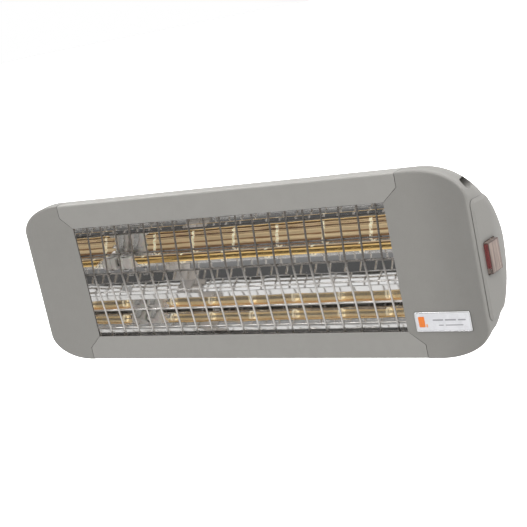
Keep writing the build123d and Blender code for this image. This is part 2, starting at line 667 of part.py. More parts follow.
with BuildPart() as rocker:
    with BuildSketch(at_y(SWITCH_Y + ROCKER_WIDTH / 2)):
        with BuildLine():
            Polyline(*[(ROCKER_X + out * cos(ROCKER_TILT) - up * sin(ROCKER_TILT),
                        up * cos(ROCKER_TILT) + out * sin(ROCKER_TILT))
                       for out, up in ROCKER_OUTLINE], close=True)
        make_face()
    extrude(amount=ROCKER_WIDTH)
    add(extruded(at_y(SWITCH_Y + ROCKER_PIN_HALF), ROCKER_PIVOT, 2 * ROCKER_PIN_HALF,
                 Circle, 1.2))
save(rocker.part, "rocker")

with BuildPart() as switch_boot:
    with BuildSketch(at_x(SWITCH_X)):
        with Locations(*SWITCH_SPOT):
            RectangleRounded(19.6, 25.4, 1.2)
    extrude(amount=5.0, taper=3.5)
    fillet(switch_boot.faces().sort_by(Axis.X)[-1].edges(), radius=0.6)
    # hollow over the switch's flange
    cut(extruded(at_x(SEAT_X - 0.5), SWITCH_SPOT, 4.6, RectangleRounded, 15.9, 23.5, 1.0))
save(switch_boot.part, "switch_boot")

# ---------------------------------------------------------------- terminal block
BLOCK_BACK_DEPTH = 30.0
BLOCK_T = 13.95
CLAMP_DX = 4             # clamp screws beside each pole's middle
CLAMP_SPOTS = [(BLOCK_X + dx, z) for z in POLE_Z for dx in (-CLAMP_DX, CLAMP_DX)]

with BuildPart() as terminal_block:
    add(extruded(at_depth(BLOCK_BACK_DEPTH), [(BLOCK_X, BLOCK_Z)], BLOCK_T,
                 RectangleRounded, 14.0, 33.0, 1.5))
    # holes for the fixing screws, the clamp screws and the wires
    cut(extruded(at_depth(BLOCK_BACK_DEPTH + 0.1), BLOCK_SCREW_SPOTS, 15, Circle, 1.7))
    cut(extruded(at_depth(BLOCK_BACK_DEPTH + 0.1), CLAMP_SPOTS, 6.6, Circle, 2.0))
    cut(extruded(at_x(BLOCK_X - 8), [(dy(BLOCK_DEPTH), z) for z in POLE_Z], 16, Circle, 1.6))
save(terminal_block.part, "terminal_block")

with BuildPart() as terminal_screws:
    add(extruded(at_depth(29.2), CLAMP_SPOTS, 4.6, Circle, 1.9))
    cut(extruded(at_depth(29.3), CLAMP_SPOTS, 1.0, Rectangle, 5, 0.6))
save(terminal_screws.part, "terminal_screws")

with BuildPart() as block_screws:
    add(extruded(at_depth(31.8), BLOCK_SCREW_SPOTS, 1.75, Circle, 2.7))
    add(extruded(at_depth(30.5), BLOCK_SCREW_SPOTS, 22.0, Circle, 1.5))
save(block_screws.part, "block_screws")

with BuildPart() as earth_screw:
    add(extruded(at_depth(17.6), EARTH_SPOT, 2.65, Circle, 3.9))
    add(extruded(at_depth(15.5), EARTH_SPOT, 9.5, Circle, 2.0))
    cut(extruded(at_depth(17.7), EARTH_SPOT, 1.5, cross, 4.4, 1.0))
save(earth_screw.part, "earth_screw")

# ---------------------------------------------------------------- wiring
TUBE_Y = dy(TUBE_DEPTH)
BLOCK_Y = dy(BLOCK_DEPTH)
FEED_Y, FEED_Z = dy(86), -25.0           # the feed's run along the back
POLE_IN_X, POLE_OUT_X = BLOCK_X + 3, BLOCK_X - 3     # wire ends inside the terminal block
BLADE_END_X = 211.2                      # wire ends at the switch's blades
LEAD_END_X = 177.2                       # wire ends in the lamp bases
CORE_R, CORE_START_X, CORE_TURN_X = 1.2, -217.0, -211.5
EARTH_WIRE_X, EARTH_WIRE_DEPTH = -187.0, 15.6
LUG_CUT_DEPTH = 20.0

# Name: points of the path, radius, bend radius
WIRES = {
    "wire_feed": ([(POLE_IN_X, BLOCK_Y, POLE_Z[0]), (-188.0, BLOCK_Y, POLE_Z[0]),
                   (-188.0, FEED_Y, FEED_Z), (200.0, FEED_Y, FEED_Z),
                   (200.0, SWITCH_Y, -BLADE_Z), (BLADE_END_X, SWITCH_Y, -BLADE_Z)], 1.3, 4.0),
    "lamp_lead_right": ([(LEAD_END_X, TUBE_Y, 0.0), (203.0, TUBE_Y, 0.0),
                         (203.0, SWITCH_Y, BLADE_Z), (BLADE_END_X, SWITCH_Y, BLADE_Z)],
                        1.45, 4.0),
    "lamp_lead_left": ([(-LEAD_END_X, TUBE_Y, 0.0), (-189.5, TUBE_Y, 0.0),
                        (-187.5, BLOCK_Y, POLE_Z[1]), (POLE_IN_X, BLOCK_Y, POLE_Z[1])],
                       1.45, 3.0),
}
for core, core_z, pole_z in zip(("live", "neutral", "earth"), (-3.2, 0.0, 3.2), POLE_Z):
    WIRES["supply_core_" + core] = (
        [(CORE_START_X, GLAND_Y, core_z), (CORE_TURN_X, GLAND_Y, core_z),
         (CORE_TURN_X, BLOCK_Y, pole_z), (POLE_OUT_X, BLOCK_Y, pole_z)], CORE_R, 3.0)


def swept_wire(points, radius, bend):
    """Round wire along a polyline with rounded bends"""
    with BuildPart() as wire:
        with BuildLine() as run:
            FilletPolyline(*points, radius=bend)
        with BuildSketch(Plane(origin=run.line @ 0, z_dir=run.line % 0)):
            Circle(radius)
        sweep(path=run.line)
    return wire.part


for name, (points, radius, bend) in WIRES.items():
    save(swept_wire(points, radius, bend), name)

with BuildPart() as wire_earth:
    add(swept_wire([(POLE_IN_X, BLOCK_Y, POLE_Z[2]), (EARTH_WIRE_X, BLOCK_Y, POLE_Z[2]),
                    (EARTH_WIRE_X, dy(EARTH_WIRE_DEPTH), EARTH_Z),
                    (-192.0, dy(EARTH_WIRE_DEPTH), EARTH_Z)], 1.3, 2.4))
    # lug under the earth screw, cleared for the screw's head and shank
    add(extruded(at_depth(14.9), EARTH_SPOT, 0.85, Circle, 4.2))
    cut(extruded(at_depth(LUG_CUT_DEPTH), EARTH_SPOT, 5.1, Circle, 4.0))
    cut(extruded(at_depth(LUG_CUT_DEPTH), EARTH_SPOT, 7.0, Circle, 2.1))
save(wire_earth.part, "wire_earth")

# ---------------------------------------------------------------- cable gland on the left cap
GLAND_APOTHEM = 10.0     # all hexagons of the gland
GLAND_SOCKET_X = -238.0  # floor of the seal's socket
CABLE_R = 4.25
CABLE_TURN_X = -272.0

with BuildPart() as cable_gland:
    # hexagon, thread through the cap, thread for the nut
    add(extruded(at_x(GLAND_SEAT_X - 0.05), GLAND_SPOT, -6.0, hexagon, GLAND_APOTHEM))
    add(extruded(at_x(-219.0), GLAND_SPOT, -11.0, Circle, 7.95))
    add(extruded(at_x(-235.5), GLAND_SPOT, -10.0, Circle, 8.0))
    # bore and seal socket
    cut(extruded(at_x(-218.0), GLAND_SPOT, -30.0, Circle, 5.0))
    cut(extruded(at_x(GLAND_SOCKET_X), GLAND_SPOT, -10.0, Circle, 6.6))
save(cable_gland.part, "cable_gland")

save(extruded(at_x(GLAND_SOCKET_X - 0.05), GLAND_SPOT, -7.4, Circle, 6.5, bore=4.3),
     "gland_seal")

with BuildPart() as gland_nut:
    # hexagon and rounded dome
    add(extruded(at_x(-236.1), GLAND_SPOT, -8.0, hexagon, GLAND_APOTHEM))
    add(extruded(at_x(-244.0), GLAND_SPOT, -6.0, Circle, 9.6))
    fillet(gland_nut.faces().sort_by(Axis.X)[0].edges(), radius=3.2)
    # thread and cable hole
    cut(extruded(at_x(-236.0), GLAND_SPOT, -9.8, Circle, 8.08))
    cut(extruded(at_x(-245.0), GLAND_SPOT, -10.0, Circle, 4.6))
save(gland_nut.part, "gland_nut")

save(extruded(at_x(GLAND_BOSS_X + 0.1), GLAND_SPOT, 3.2, hexagon, GLAND_APOTHEM, bore=8.02),
     "gland_locknut")

save(swept_wire([(-217.1, GLAND_Y, 0), (CABLE_TURN_X, GLAND_Y, 0), (CABLE_TURN_X, -22.0, 0)],
                CABLE_R, 17.0), "power_cable")

# ---------------------------------------------------------------- saddle on the back channel
SADDLE_T = 3.0
SADDLE_Y = dy(DEPTH) + 0.1           # saddle's front and back
SADDLE_BACK = SADDLE_Y + SADDLE_T
SADDLE_EAR_OUT = 39.2                # outer and inner X of the saddle's ears
SADDLE_EAR_IN = SADDLE_EAR_OUT - SADDLE_T
FOOT_T = 3.0
FOOT_EAR_OUT = 34.9                  # outer and inner X of the wall foot's ears
FOOT_EAR_IN = FOOT_EAR_OUT - FOOT_T
PIVOT_SPOT = [(PIVOT_Y, 0)]
PIN_R = 4.0
PIN_HOLE = 4.06
TBOLT_SPOTS = [(-12.0, 0), (12.0, 0)]
TBOLT_R = 3.0


def ear(side, inner_x, outer_x, root_y, root_half, tip_y):
    """Bracket ear that narrows from its root to a round end about the tilt axis"""
    with BuildPart() as plate:
        with BuildSketch(at_x(side * inner_x)):
            with BuildLine():
                Polyline((PIVOT_Y, EAR_R), (root_y, root_half),
                         (root_y, -root_half), (PIVOT_Y, -EAR_R))
                ThreePointArc((PIVOT_Y, -EAR_R), (tip_y, 0), (PIVOT_Y, EAR_R))
            make_face()
            with Locations(*PIVOT_SPOT):
                Circle(PIN_HOLE, mode=Mode.SUBTRACT)
        extrude(amount=side * (outer_x - inner_x))
    return plate.part


with BuildPart() as saddle_bracket:
    add(extruded(at_y(SADDLE_BACK), [(0, 0)], SADDLE_T,
                 RectangleRounded, 2 * SADDLE_EAR_OUT, 40.0, 2.0))
    for side in (1, -1):
        add(ear(side, SADDLE_EAR_IN, SADDLE_EAR_OUT, SADDLE_Y + 0.01, 19.0, PIVOT_Y + EAR_R))
    cut(extruded(at_y(SADDLE_Y + 10), TBOLT_SPOTS, 20, Circle, 3.3))
save(saddle_bracket.part, "saddle_bracket")

with BuildPart() as slot_bolts:
    # head in the channel, square neck in the slot, shank
    add(extruded(at_depth(92.9), TBOLT_SPOTS, 4.6, Rectangle, 13.6, 14.2))
    add(extruded(at_depth(95.05), TBOLT_SPOTS, 2.3, Rectangle, 8.0, 8.0))
    add(extruded(at_depth(107.0), TBOLT_SPOTS, 13.0, Circle, TBOLT_R))
save(slot_bolts.part, "slot_bolts")

save(extruded(at_y(SADDLE_BACK + 1.62), TBOLT_SPOTS, 1.6, Circle, 6.0, bore=3.2),
     "slot_washers")
save(extruded(at_y(SADDLE_BACK + 6.7), TBOLT_SPOTS, 5.0, hexagon, 5.0, bore=TBOLT_R + 0.03),
     "slot_nuts")

# ---------------------------------------------------------------- wall foot and pivot
WALL_HOLE_R = 3.25
WALL_DX, WALL_DZ = 44.0, 42.0        # spacing of the wall screw holes
WALL_SPOTS = [(sx * WALL_DX / 2, sz * WALL_DZ / 2) for sx in (-1, 1) for sz in (-1, 1)]
WASHER_BORE_R = PIN_HOLE + 0.1
NUT_BORE_R = PIN_R + 0.03
PIVOT_APOTHEM = 6.5                  # bolt heads and nuts
PIVOT_NUT_T = 6.8

with BuildPart() as wall_foot:
    add(extruded(at_y(0.0), [(0, 0)], FOOT_T, RectangleRounded, 2 * FOOT_EAR_OUT, 60.0, 4.0))
    for side in (1, -1):
        add(ear(side, FOOT_EAR_IN, FOOT_EAR_OUT, -0.01, 22.0, PIVOT_Y - EAR_R))
    cut(extruded(at_y(10.0), WALL_SPOTS, 20, Circle, WALL_HOLE_R))
save(wall_foot.part, "wall_foot")

# between the ears of foot and saddle
with BuildPart() as friction_washers:
    for side in (1, -1):
        add(extruded(at_x(side * (FOOT_EAR_OUT + 0.03)), PIVOT_SPOT,
                     side * (SADDLE_EAR_IN - FOOT_EAR_OUT - 0.08),
                     Circle, 9.5, bore=WASHER_BORE_R))
save(friction_washers.part, "friction_washers")

with BuildPart() as pivot_washers:
    for side in (1, -1):
        add(extruded(at_x(side * (SADDLE_EAR_OUT + 0.05)), PIVOT_SPOT, side * 1.6,
                     Circle, 8.0, bore=WASHER_BORE_R))
save(pivot_washers.part, "pivot_washers")

with BuildPart() as pivot_bolts:
    for side in (1, -1):
        add(extruded(at_x(side * 21.5), PIVOT_SPOT, side * 20.0, Circle, PIN_R))
        add(extruded(at_x(side * (SADDLE_EAR_OUT + 1.7)), PIVOT_SPOT, side * 5.3,
                     hexagon, PIVOT_APOTHEM))
save(pivot_bolts.part, "pivot_bolts")

# nuts with a round collar, inside the foot's ears
with BuildPart() as pivot_nuts:
    for side in (1, -1):
        add(extruded(at_x(side * (FOOT_EAR_IN - 0.05)), PIVOT_SPOT, -side * PIVOT_NUT_T,
                     hexagon, PIVOT_APOTHEM, bore=NUT_BORE_R))
        add(extruded(at_x(side * (FOOT_EAR_IN - PIVOT_NUT_T)), PIVOT_SPOT, -side * 1.6,
                     Circle, 5.6, bore=NUT_BORE_R))
save(pivot_nuts.part, "pivot_nuts")
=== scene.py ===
"""Lamp head: a gold-coated quartz tube in a folded reflector, between two cast end caps.

The tube lies along X, the open face looks to -Y and +Z is up. The switch is on the +X end.
Meshes are built in millimetres. Materials read object coordinates, which are in metres.
"""

from math import cos, dist, pi, radians, sin

import bmesh
import bpy
from mathutils import Matrix, Vector


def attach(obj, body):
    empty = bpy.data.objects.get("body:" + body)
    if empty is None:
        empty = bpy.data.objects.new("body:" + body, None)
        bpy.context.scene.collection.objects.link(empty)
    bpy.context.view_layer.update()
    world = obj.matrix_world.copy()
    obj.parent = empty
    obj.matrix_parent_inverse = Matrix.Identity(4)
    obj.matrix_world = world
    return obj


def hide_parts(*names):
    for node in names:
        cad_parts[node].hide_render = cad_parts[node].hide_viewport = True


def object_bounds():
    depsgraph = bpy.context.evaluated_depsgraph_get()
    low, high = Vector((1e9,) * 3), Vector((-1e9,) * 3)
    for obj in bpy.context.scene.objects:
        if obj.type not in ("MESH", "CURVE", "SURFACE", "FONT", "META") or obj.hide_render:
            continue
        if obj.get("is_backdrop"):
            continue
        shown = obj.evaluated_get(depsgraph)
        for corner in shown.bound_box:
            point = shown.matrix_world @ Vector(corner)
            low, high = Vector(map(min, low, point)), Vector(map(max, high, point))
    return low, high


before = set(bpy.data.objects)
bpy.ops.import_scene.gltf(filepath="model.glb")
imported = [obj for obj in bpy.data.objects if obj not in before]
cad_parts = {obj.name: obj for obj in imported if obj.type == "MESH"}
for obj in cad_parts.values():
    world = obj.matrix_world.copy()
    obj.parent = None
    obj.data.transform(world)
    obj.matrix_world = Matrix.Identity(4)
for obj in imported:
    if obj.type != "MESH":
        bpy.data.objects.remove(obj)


def plain(value):
    """Nested vectors as nested lists of floats."""
    if hasattr(value, "__len__"):
        return [plain(v) for v in value]
    return float(value)


CAD_BOX = plain(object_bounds())

# ------------------------------------------------------------------ driving dimensions (mm)
FACE_Y = -153.0


def at_depth(depth):
    """Y of a point this far behind the front face."""
    return FACE_Y + depth


LAMP_Y = at_depth(68.0)
GOLD_HALF = 161.5  # half the length of the gold coating
GOLD_MIDDLE = radians(79)  # middle of the coating, turned up from the front
SUPPORTS = (-149.0, -101.0, -52.5, -3.0, 47.0, 96.0, 145.0)  # X of the filament supports
SWITCH_Y = at_depth(21.0)
SEAT_X = 235.5  # the face the switch boot sits on


# ------------------------------------------------------------------ shader helper
class Shade:
    """A small builder for the node tree of a material or world."""

    def __init__(self, owner, kind="Material"):
        owner.use_nodes = True
        self.owner = owner
        self.tree = owner.node_tree
        self.tree.nodes.clear()
        self.output = self.tree.nodes.new("ShaderNodeOutput" + kind)
        self.object_coord = None

    def node(self, kind, ins=None, **attributes):
        made = self.tree.nodes.new(kind)
        for key, value in attributes.items():
            setattr(made, key, value)
        for key, value in (ins or {}).items():
            self.plug(made.inputs[key], value)
        return made

    def plug(self, socket, value):
        """Link a socket or set a value; three-part colours get full alpha."""
        if isinstance(value, bpy.types.NodeSocket):
            self.tree.links.new(value, socket)
            return
        if socket.type == "RGBA" and len(value) == 3:
            value = tuple(value) + (1.0,)
        socket.default_value = value

    def coord(self):
        if self.object_coord is None:
            self.object_coord = self.node("ShaderNodeTexCoord").outputs["Object"]
        return self.object_coord

    def scaled(self, scale, turn=(0, 0, 0)):
        ins = {"Vector": self.coord(), "Scale": scale, "Rotation": turn}
        return self.node("ShaderNodeMapping", ins).outputs[0]

    def noise(self, scale, detail=3.0, rough=0.6, stretch=None):
        vector = self.scaled(stretch) if stretch else self.coord()
        ins = {"Vector": vector, "Scale": scale, "Detail": detail, "Roughness": rough}
        return self.node("ShaderNodeTexNoise", ins).outputs["Fac"]

    def wave(self, scale, turn, distortion):
        ins = {"Vector": self.scaled((1, 1, 1), turn), "Scale": scale,
               "Distortion": distortion, "Detail": 1.0}
        return self.node("ShaderNodeTexWave", ins).outputs["Fac"]

    def math(self, op, a, b=0.0):
        return self.node("ShaderNodeMath", {0: a, 1: b, 2: 0.0}, operation=op).outputs[0]

    def mul(self, a, b):
        return self.math("MULTIPLY", a, b)

    def add(self, a, b):
        return self.math("ADD", a, b)

    def sub(self, a, b):
        return self.math("SUBTRACT", a, b)

    def most(self, a, b):
        return self.math("MAXIMUM", a, b)

    def abs(self, a):
        return self.math("ABSOLUTE", a)

    def centred(self, noise, width):
        """Noise moved to swing about 0 and scaled to this width."""
        return self.mul(self.sub(noise, 0.5), width)

    def span(self, value, start, end, to=(0.0, 1.0), smooth=True):
        """Goes from to[0] to to[1] while value goes from start to end."""
        ins = {"Value": value, "From Min": start, "From Max": end, "To Min": to[0], "To Max": to[1]}
        kind = "SMOOTHSTEP" if smooth else "LINEAR"
        return self.node("ShaderNodeMapRange", ins, interpolation_type=kind).outputs["Result"]

    def mix(self, factor, a, b, mode="MIX"):
        ins = {"Factor": factor, 6: a, 7: b}
        return self.node("ShaderNodeMix", ins, data_type="RGBA", blend_type=mode).outputs[2]

    def grey(self, value):
        return self.node("ShaderNodeCombineColor", {0: value, 1: value, 2: value}).outputs[0]

    def grey_ramp(self, factor, rows):
        """rows: (position, brightness)"""
        made = self.node("ShaderNodeValToRGB", {"Fac": factor})
        elements = made.color_ramp.elements
        elements.remove(elements[1])
        elements[0].position = rows[0][0]
        elements[0].color = (rows[0][1],) * 3 + (1.0,)
        for position, value in rows[1:]:
            elements.new(position).color = (value,) * 3 + (1.0,)
        return made.outputs["Color"]

    def split(self, vector=None):
        return self.node("ShaderNodeSeparateXYZ", {"Vector": vector or self.coord()}).outputs[0:3]

    def normal(self):
        return self.node("ShaderNodeNewGeometry").outputs["Normal"]

    def rounded(self, radius):
        return self.node("ShaderNodeBevel", {"Radius": radius}, samples=4).outputs[0]

    def edge(self, radius, start=0.93, end=0.995):
        """1 on outer and inner edges, 0 on open faces."""
        ins = {0: self.rounded(radius), 1: self.normal()}
        made = self.node("ShaderNodeVectorMath", ins, operation="DOT_PRODUCT")
        return self.span(made.outputs["Value"], start, end, to=(1.0, 0.0))

    def bump(self, height, distance, normal=None):
        ins = {"Height": height, "Distance": distance, "Strength": 1.0}
        if normal is not None:
            ins["Normal"] = normal
        return self.node("ShaderNodeBump", ins).outputs[0]

    def principled(self, **ins):
        named = {key.replace("_", " "): value for key, value in ins.items()}
        return self.node("ShaderNodeBsdfPrincipled", named).outputs[0]

    def transparent(self, **ins):
        return self.node("ShaderNodeBsdfTransparent", ins).outputs[0]

    def blend(self, factor, a, b):
        return self.node("ShaderNodeMixShader", {0: factor, 1: a, 2: b}).outputs[0]

    def ray(self):
        return self.node("ShaderNodeLightPath").outputs

    def done(self, shader):
        self.tree.links.new(shader, self.output.inputs["Surface"])
        return self.owner


def shade(name):
    return Shade(bpy.data.materials.new(name))


# ------------------------------------------------------------------ paint
def tint_and_shade_cap(g, base, tint):
    """Darken the paint, and paint light and shade on the front of the cast face: a little lighter,
    and darker toward +X.
    """
    base = g.mix(1.0, base, (tint, tint * 0.997, tint * 0.99), "MULTIPLY")
    facing = g.split(g.node("ShaderNodeTexCoord").outputs["Normal"])[1]
    front = g.span(facing, -0.80, -0.97)
    # painted light and shade: the front of the face is lighter, and darker toward its +X end
    fade = g.add(g.mul(front, g.span(g.split()[0], 0.184, 0.226, to=(0.085, -0.095))), 1.0)
    return g.mix(1.0, base, g.grey(fade), "MULTIPLY")


def cap_inside(g, across, y, height):
    """1 on the inside behind the face, which gets painted light: a tall part, and a lower one
    reaching further out.
    """

    def behind_face():
        return g.span(y, -0.1517, -0.1513)

    def before_back():
        return g.span(y, -0.1280, -0.1300)

    tall = g.mul(g.span(across, 0.1812, 0.1806), behind_face())
    tall = g.mul(tall, g.mul(g.span(height, 0.0650, 0.0640), before_back()))
    low = g.mul(g.span(height, 0.0535, 0.0525), behind_face())
    low = g.mul(g.span(across, 0.2050, 0.2030), low)
    return g.most(tall, g.mul(low, before_back()))


def paint_material(name, cap_tint=None):
    """Satin paint; cap_tint gives the darker end caps, with painted shade across their face and a
    pale inside with a painted glow.
    """
    g = shade(name)
    tone = g.noise(7.0, rough=0.55)
    fine = g.noise(95.0, detail=4.0)
    grain = g.noise(2600.0, detail=2.0)
    peel = g.noise(620.0, detail=2.0, rough=0.45)
    base = g.mix(g.span(tone, 0.25, 0.75), (0.318, 0.309, 0.289), (0.336, 0.326, 0.305))
    base = g.mix(g.span(fine, 0.3, 0.75), base, g.mix(0.5, base, (0.36, 0.35, 0.33)))
    # pale and dark grains
    base = g.mix(g.span(grain, 0.60, 0.82), base, (0.44, 0.43, 0.41))
    base = g.mix(g.span(grain, 0.38, 0.20), base, (0.25, 0.243, 0.228))
    wear = g.mul(g.edge(0.0009), g.span(g.noise(180.0, detail=4.0, rough=0.7), 0.45, 0.75))
    base = g.mix(g.mul(wear, 0.5), base, (0.47, 0.46, 0.44))
    rough = g.add(g.span(fine, 0.2, 0.8, to=(0.40, 0.50)), g.mul(grain, 0.08))
    rough = g.sub(rough, g.mul(wear, 0.12))
    if cap_tint:
        base = tint_and_shade_cap(g, base, cap_tint)
    # painted shade: dark creases found by ambient occlusion
    crease_shade = g.node("ShaderNodeAmbientOcclusion", {"Distance": 0.0036}, samples=8).outputs["AO"]
    base = g.mix(g.span(crease_shade, 0.45, 0.96, to=(0.88, 0.0)), base, (0.050, 0.048, 0.045))
    # painted shade: a dark band just behind the face, round the opening
    x, y, z = g.split()
    across, height = g.abs(x), g.abs(z)
    band = g.mul(g.span(y, -0.1526, -0.1522), g.span(y, -0.1452, -0.1460))
    opening = g.mul(g.span(height, 0.0529, 0.0527), g.span(across, 0.1656, 0.1654))
    base = g.mix(g.mul(band, opening), base, (0.045, 0.043, 0.040))
    painted_glow = 0.0
    if cap_tint:
        # painted light: the inside behind the face is painted pale and given a glow, standing in for
        # light from the mirrored chamber
        inside = cap_inside(g, across, y, height)
        base = g.mix(inside, base, (0.74, 0.70, 0.67))
        painted_glow = g.mul(inside, 0.30)
    normal = g.bump(peel, 0.000035, g.bump(grain, 0.000022, g.rounded(0.00035)))
    return g.done(g.principled(
        Base_Color=base, Roughness=rough, Normal=normal, Metallic=0.12, IOR=1.5, Coat_Weight=0.10,
        Coat_Roughness=0.32, Emission_Color=base, Emission_Strength=painted_glow))


# ------------------------------------------------------------------ metals
def metal_material(name, colour, patches, edge_colour, rough=0.28, spread=0.12, scratch=0.00001,
                   brushed=None, dirt=None, grain=380.0, upper_shade=None):
    """rough and spread: middle and width of the roughness; scratch: bump height;
    brushed: stretch of the brush lines; upper_shade: colour of the painted shade on the upper front,
    where the wires face the dark zone above."""
    g = shade(name)
    cloud = g.noise(60.0, detail=5.0)
    fine = g.noise(grain, detail=4.0, rough=0.65)
    base = g.mix(g.span(cloud, 0.3, 0.75), colour, patches)
    base = g.mix(g.mul(g.edge(0.0005), g.span(fine, 0.35, 0.7)), base, edge_colour)
    if dirt:
        base = g.mix(g.span(g.noise(210.0, detail=5.0, rough=0.7), 0.58, 0.78), base, dirt)
    if upper_shade:
        # painted shade on the upper front; it keeps off the side turned to the reflector
        outside = g.span(g.split(g.normal())[1], 0.35, 0.05)
        base = g.mix(g.mul(g.span(g.split()[2], -0.020, 0.012), outside), base, upper_shade)
    roughness = g.span(fine, 0.2, 0.8, to=(rough - spread / 2, rough + spread / 2))
    height = fine
    if brushed:
        lines = g.noise(90.0, rough=0.7, stretch=brushed)
        roughness = g.add(roughness, g.span(lines, 0.3, 0.7, to=(-0.05, 0.07)))
        height = g.add(g.mul(lines, 0.7), g.mul(fine, 0.3))
    normal = g.bump(height, scratch, g.rounded(0.00025))
    return g.done(g.principled(Base_Color=base, Metallic=1.0, Roughness=roughness, Normal=normal))


def mirror_material(name, waviness):
    """waviness: height of the broad bumps"""
    g = shade(name)
    roll = g.noise(30.0, detail=4.0, stretch=(0.6, 22.0, 22.0))
    haze = g.noise(55.0, detail=5.0, rough=0.65)
    spots = g.noise(900.0, detail=2.0, rough=0.5)
    base = g.mix(g.span(haze, 0.35, 0.8), (0.90, 0.895, 0.885), (0.855, 0.85, 0.845))
    base = g.mix(g.span(spots, 0.70, 0.84), base, (0.55, 0.54, 0.53))
    # the lower lip lies in the shade of the face
    y, z = g.split()[1:3]
    lip = g.mul(g.span(y, -0.1348, -0.1356), g.span(z, -0.0515, -0.0525))
    base = g.mix(lip, base, (0.13, 0.125, 0.12))
    rough = g.add(g.span(haze, 0.3, 0.8, to=(0.018, 0.05)), g.span(roll, 0.4, 0.75, to=(0.0, 0.025)))
    broad = g.noise(16.0, detail=2.0, rough=0.4, stretch=(0.8, 1.6, 1.6))
    normal = g.bump(broad, waviness, g.bump(roll, 0.0000012))
    return g.done(g.principled(Base_Color=base, Metallic=1.0, Roughness=rough, Normal=normal))


def support_material():
    """Wire rings with a painted glow, standing in for light caught inside the gilded tube."""
    g = shade("support_wire_painted_glow")
    fine = g.noise(1400.0, detail=4.0, rough=0.65)
    cloud = g.noise(160.0, detail=4.0)
    base = g.mix(g.span(cloud, 0.3, 0.75), (0.96, 0.91, 0.76), (0.86, 0.78, 0.58))
    # painted light: the wire is given a glow though it is no lamp
    return g.done(g.principled(
        Base_Color=base, Metallic=0.6, Roughness=g.span(fine, 0.2, 0.8, to=(0.30, 0.44)),
        Normal=g.bump(fine, 0.000008), Emission_Color=base,
        Emission_Strength=g.span(cloud, 0.3, 0.7, to=(0.30, 0.45))))


# ------------------------------------------------------------------ plastics, rubber, ceramic
def plastic_material(name, dark, light, rough=0.42, bump=0.00002, grain=900.0, coat=0.0,
                     edge_tone=None, stripe=None):
    """bump: height of the grain; coat: weight of the clear coat; stripe: colour of the bands"""
    g = shade(name)
    cloud = g.noise(50.0, detail=4.0)
    fine = g.noise(grain)
    base = g.mix(g.span(cloud, 0.3, 0.75), dark, light)
    if stripe:
        band = g.wave(60.0, turn=(0.0, 0.5, 0.7), distortion=0.6)
        base = g.mix(g.span(band, 0.50, 0.56), base, stripe)
    if edge_tone:
        worn = g.mul(g.edge(0.0005), g.span(fine, 0.3, 0.7, to=(0.3, 1.0)))
        base = g.mix(worn, base, edge_tone)
    roughness = g.add(g.span(cloud, 0.3, 0.8, to=(rough - 0.05, rough + 0.06)),
                      g.centred(fine, 0.12))
    normal = g.bump(fine, bump, g.rounded(0.0003))
    return g.done(g.principled(Base_Color=base, Roughness=roughness, Normal=normal,
                               Coat_Weight=coat, Coat_Roughness=0.12))


def rubber_material(name, dark, light):
    g = shade(name)
    fine = g.noise(1400.0, rough=0.65)
    dust = g.span(g.noise(130.0, detail=5.0, rough=0.7), 0.5, 0.8)
    base = g.mix(g.mul(dust, 0.5), dark, light)
    return g.done(g.principled(
        Base_Color=base, Roughness=g.span(fine, 0.2, 0.8, to=(0.6, 0.8)),
        Normal=g.bump(fine, 0.00003, g.rounded(0.0002)), Specular_IOR_Level=0.3))


def ceramic_material():
    g = shade("ceramic_steatite")
    fine = g.noise(1100.0, detail=4.0)
    cloud = g.noise(70.0, detail=4.0)
    specks = g.noise(1900.0, detail=2.0, rough=0.5)
    base = g.mix(g.span(cloud, 0.3, 0.75), (0.80, 0.77, 0.73), (0.70, 0.66, 0.62))
    base = g.mix(g.span(specks, 0.66, 0.8), base, (0.42, 0.38, 0.34))
    return g.done(g.principled(
        Base_Color=base, Roughness=g.span(fine, 0.2, 0.8, to=(0.42, 0.6)),
        Normal=g.bump(fine, 0.00004, g.rounded(0.0004)), Coat_Weight=0.15, Coat_Roughness=0.25,
        Subsurface_Weight=0.05, Subsurface_Scale=0.001))


def red_material():
    g = shade("rocker_red_gloss")
    cloud = g.noise(150.0)
    fine = g.noise(1600.0)
    base = g.mix(g.span(cloud, 0.3, 0.75), (0.40, 0.012, 0.012), (0.50, 0.022, 0.018))
    base = g.mix(g.mul(g.edge(0.0006), 0.4), base, (0.62, 0.09, 0.07))
    return g.done(g.principled(
        Base_Color=base, Roughness=g.span(cloud, 0.3, 0.8, to=(0.16, 0.27)),
        Normal=g.bump(fine, 0.000006, g.rounded(0.0004)), Transmission_Weight=0.12,
        Subsurface_Weight=0.15, Subsurface_Scale=0.002, Coat_Weight=0.3, Coat_Roughness=0.08))


def sleeve_material():
    """Woven glass fibre: two crossed waves."""
    g = shade("sleeve_glass_fibre")
    weave = g.mul(g.wave(520.0, turn=(0.6, 0.5, 0.785), distortion=0.4),
                  g.wave(520.0, turn=(0.6, 0.5, -0.785), distortion=0.4))
    fine = g.noise(1500.0)
    base = g.mix(weave, (0.55, 0.54, 0.51), (0.84, 0.83, 0.80))
    return g.done(g.principled(
        Base_Color=base, Roughness=g.span(fine, 0.2, 0.8, to=(0.7, 0.85)),
        Normal=g.bump(g.add(weave, g.mul(fine, 0.4)), 0.00012), Sheen_Weight=0.2))


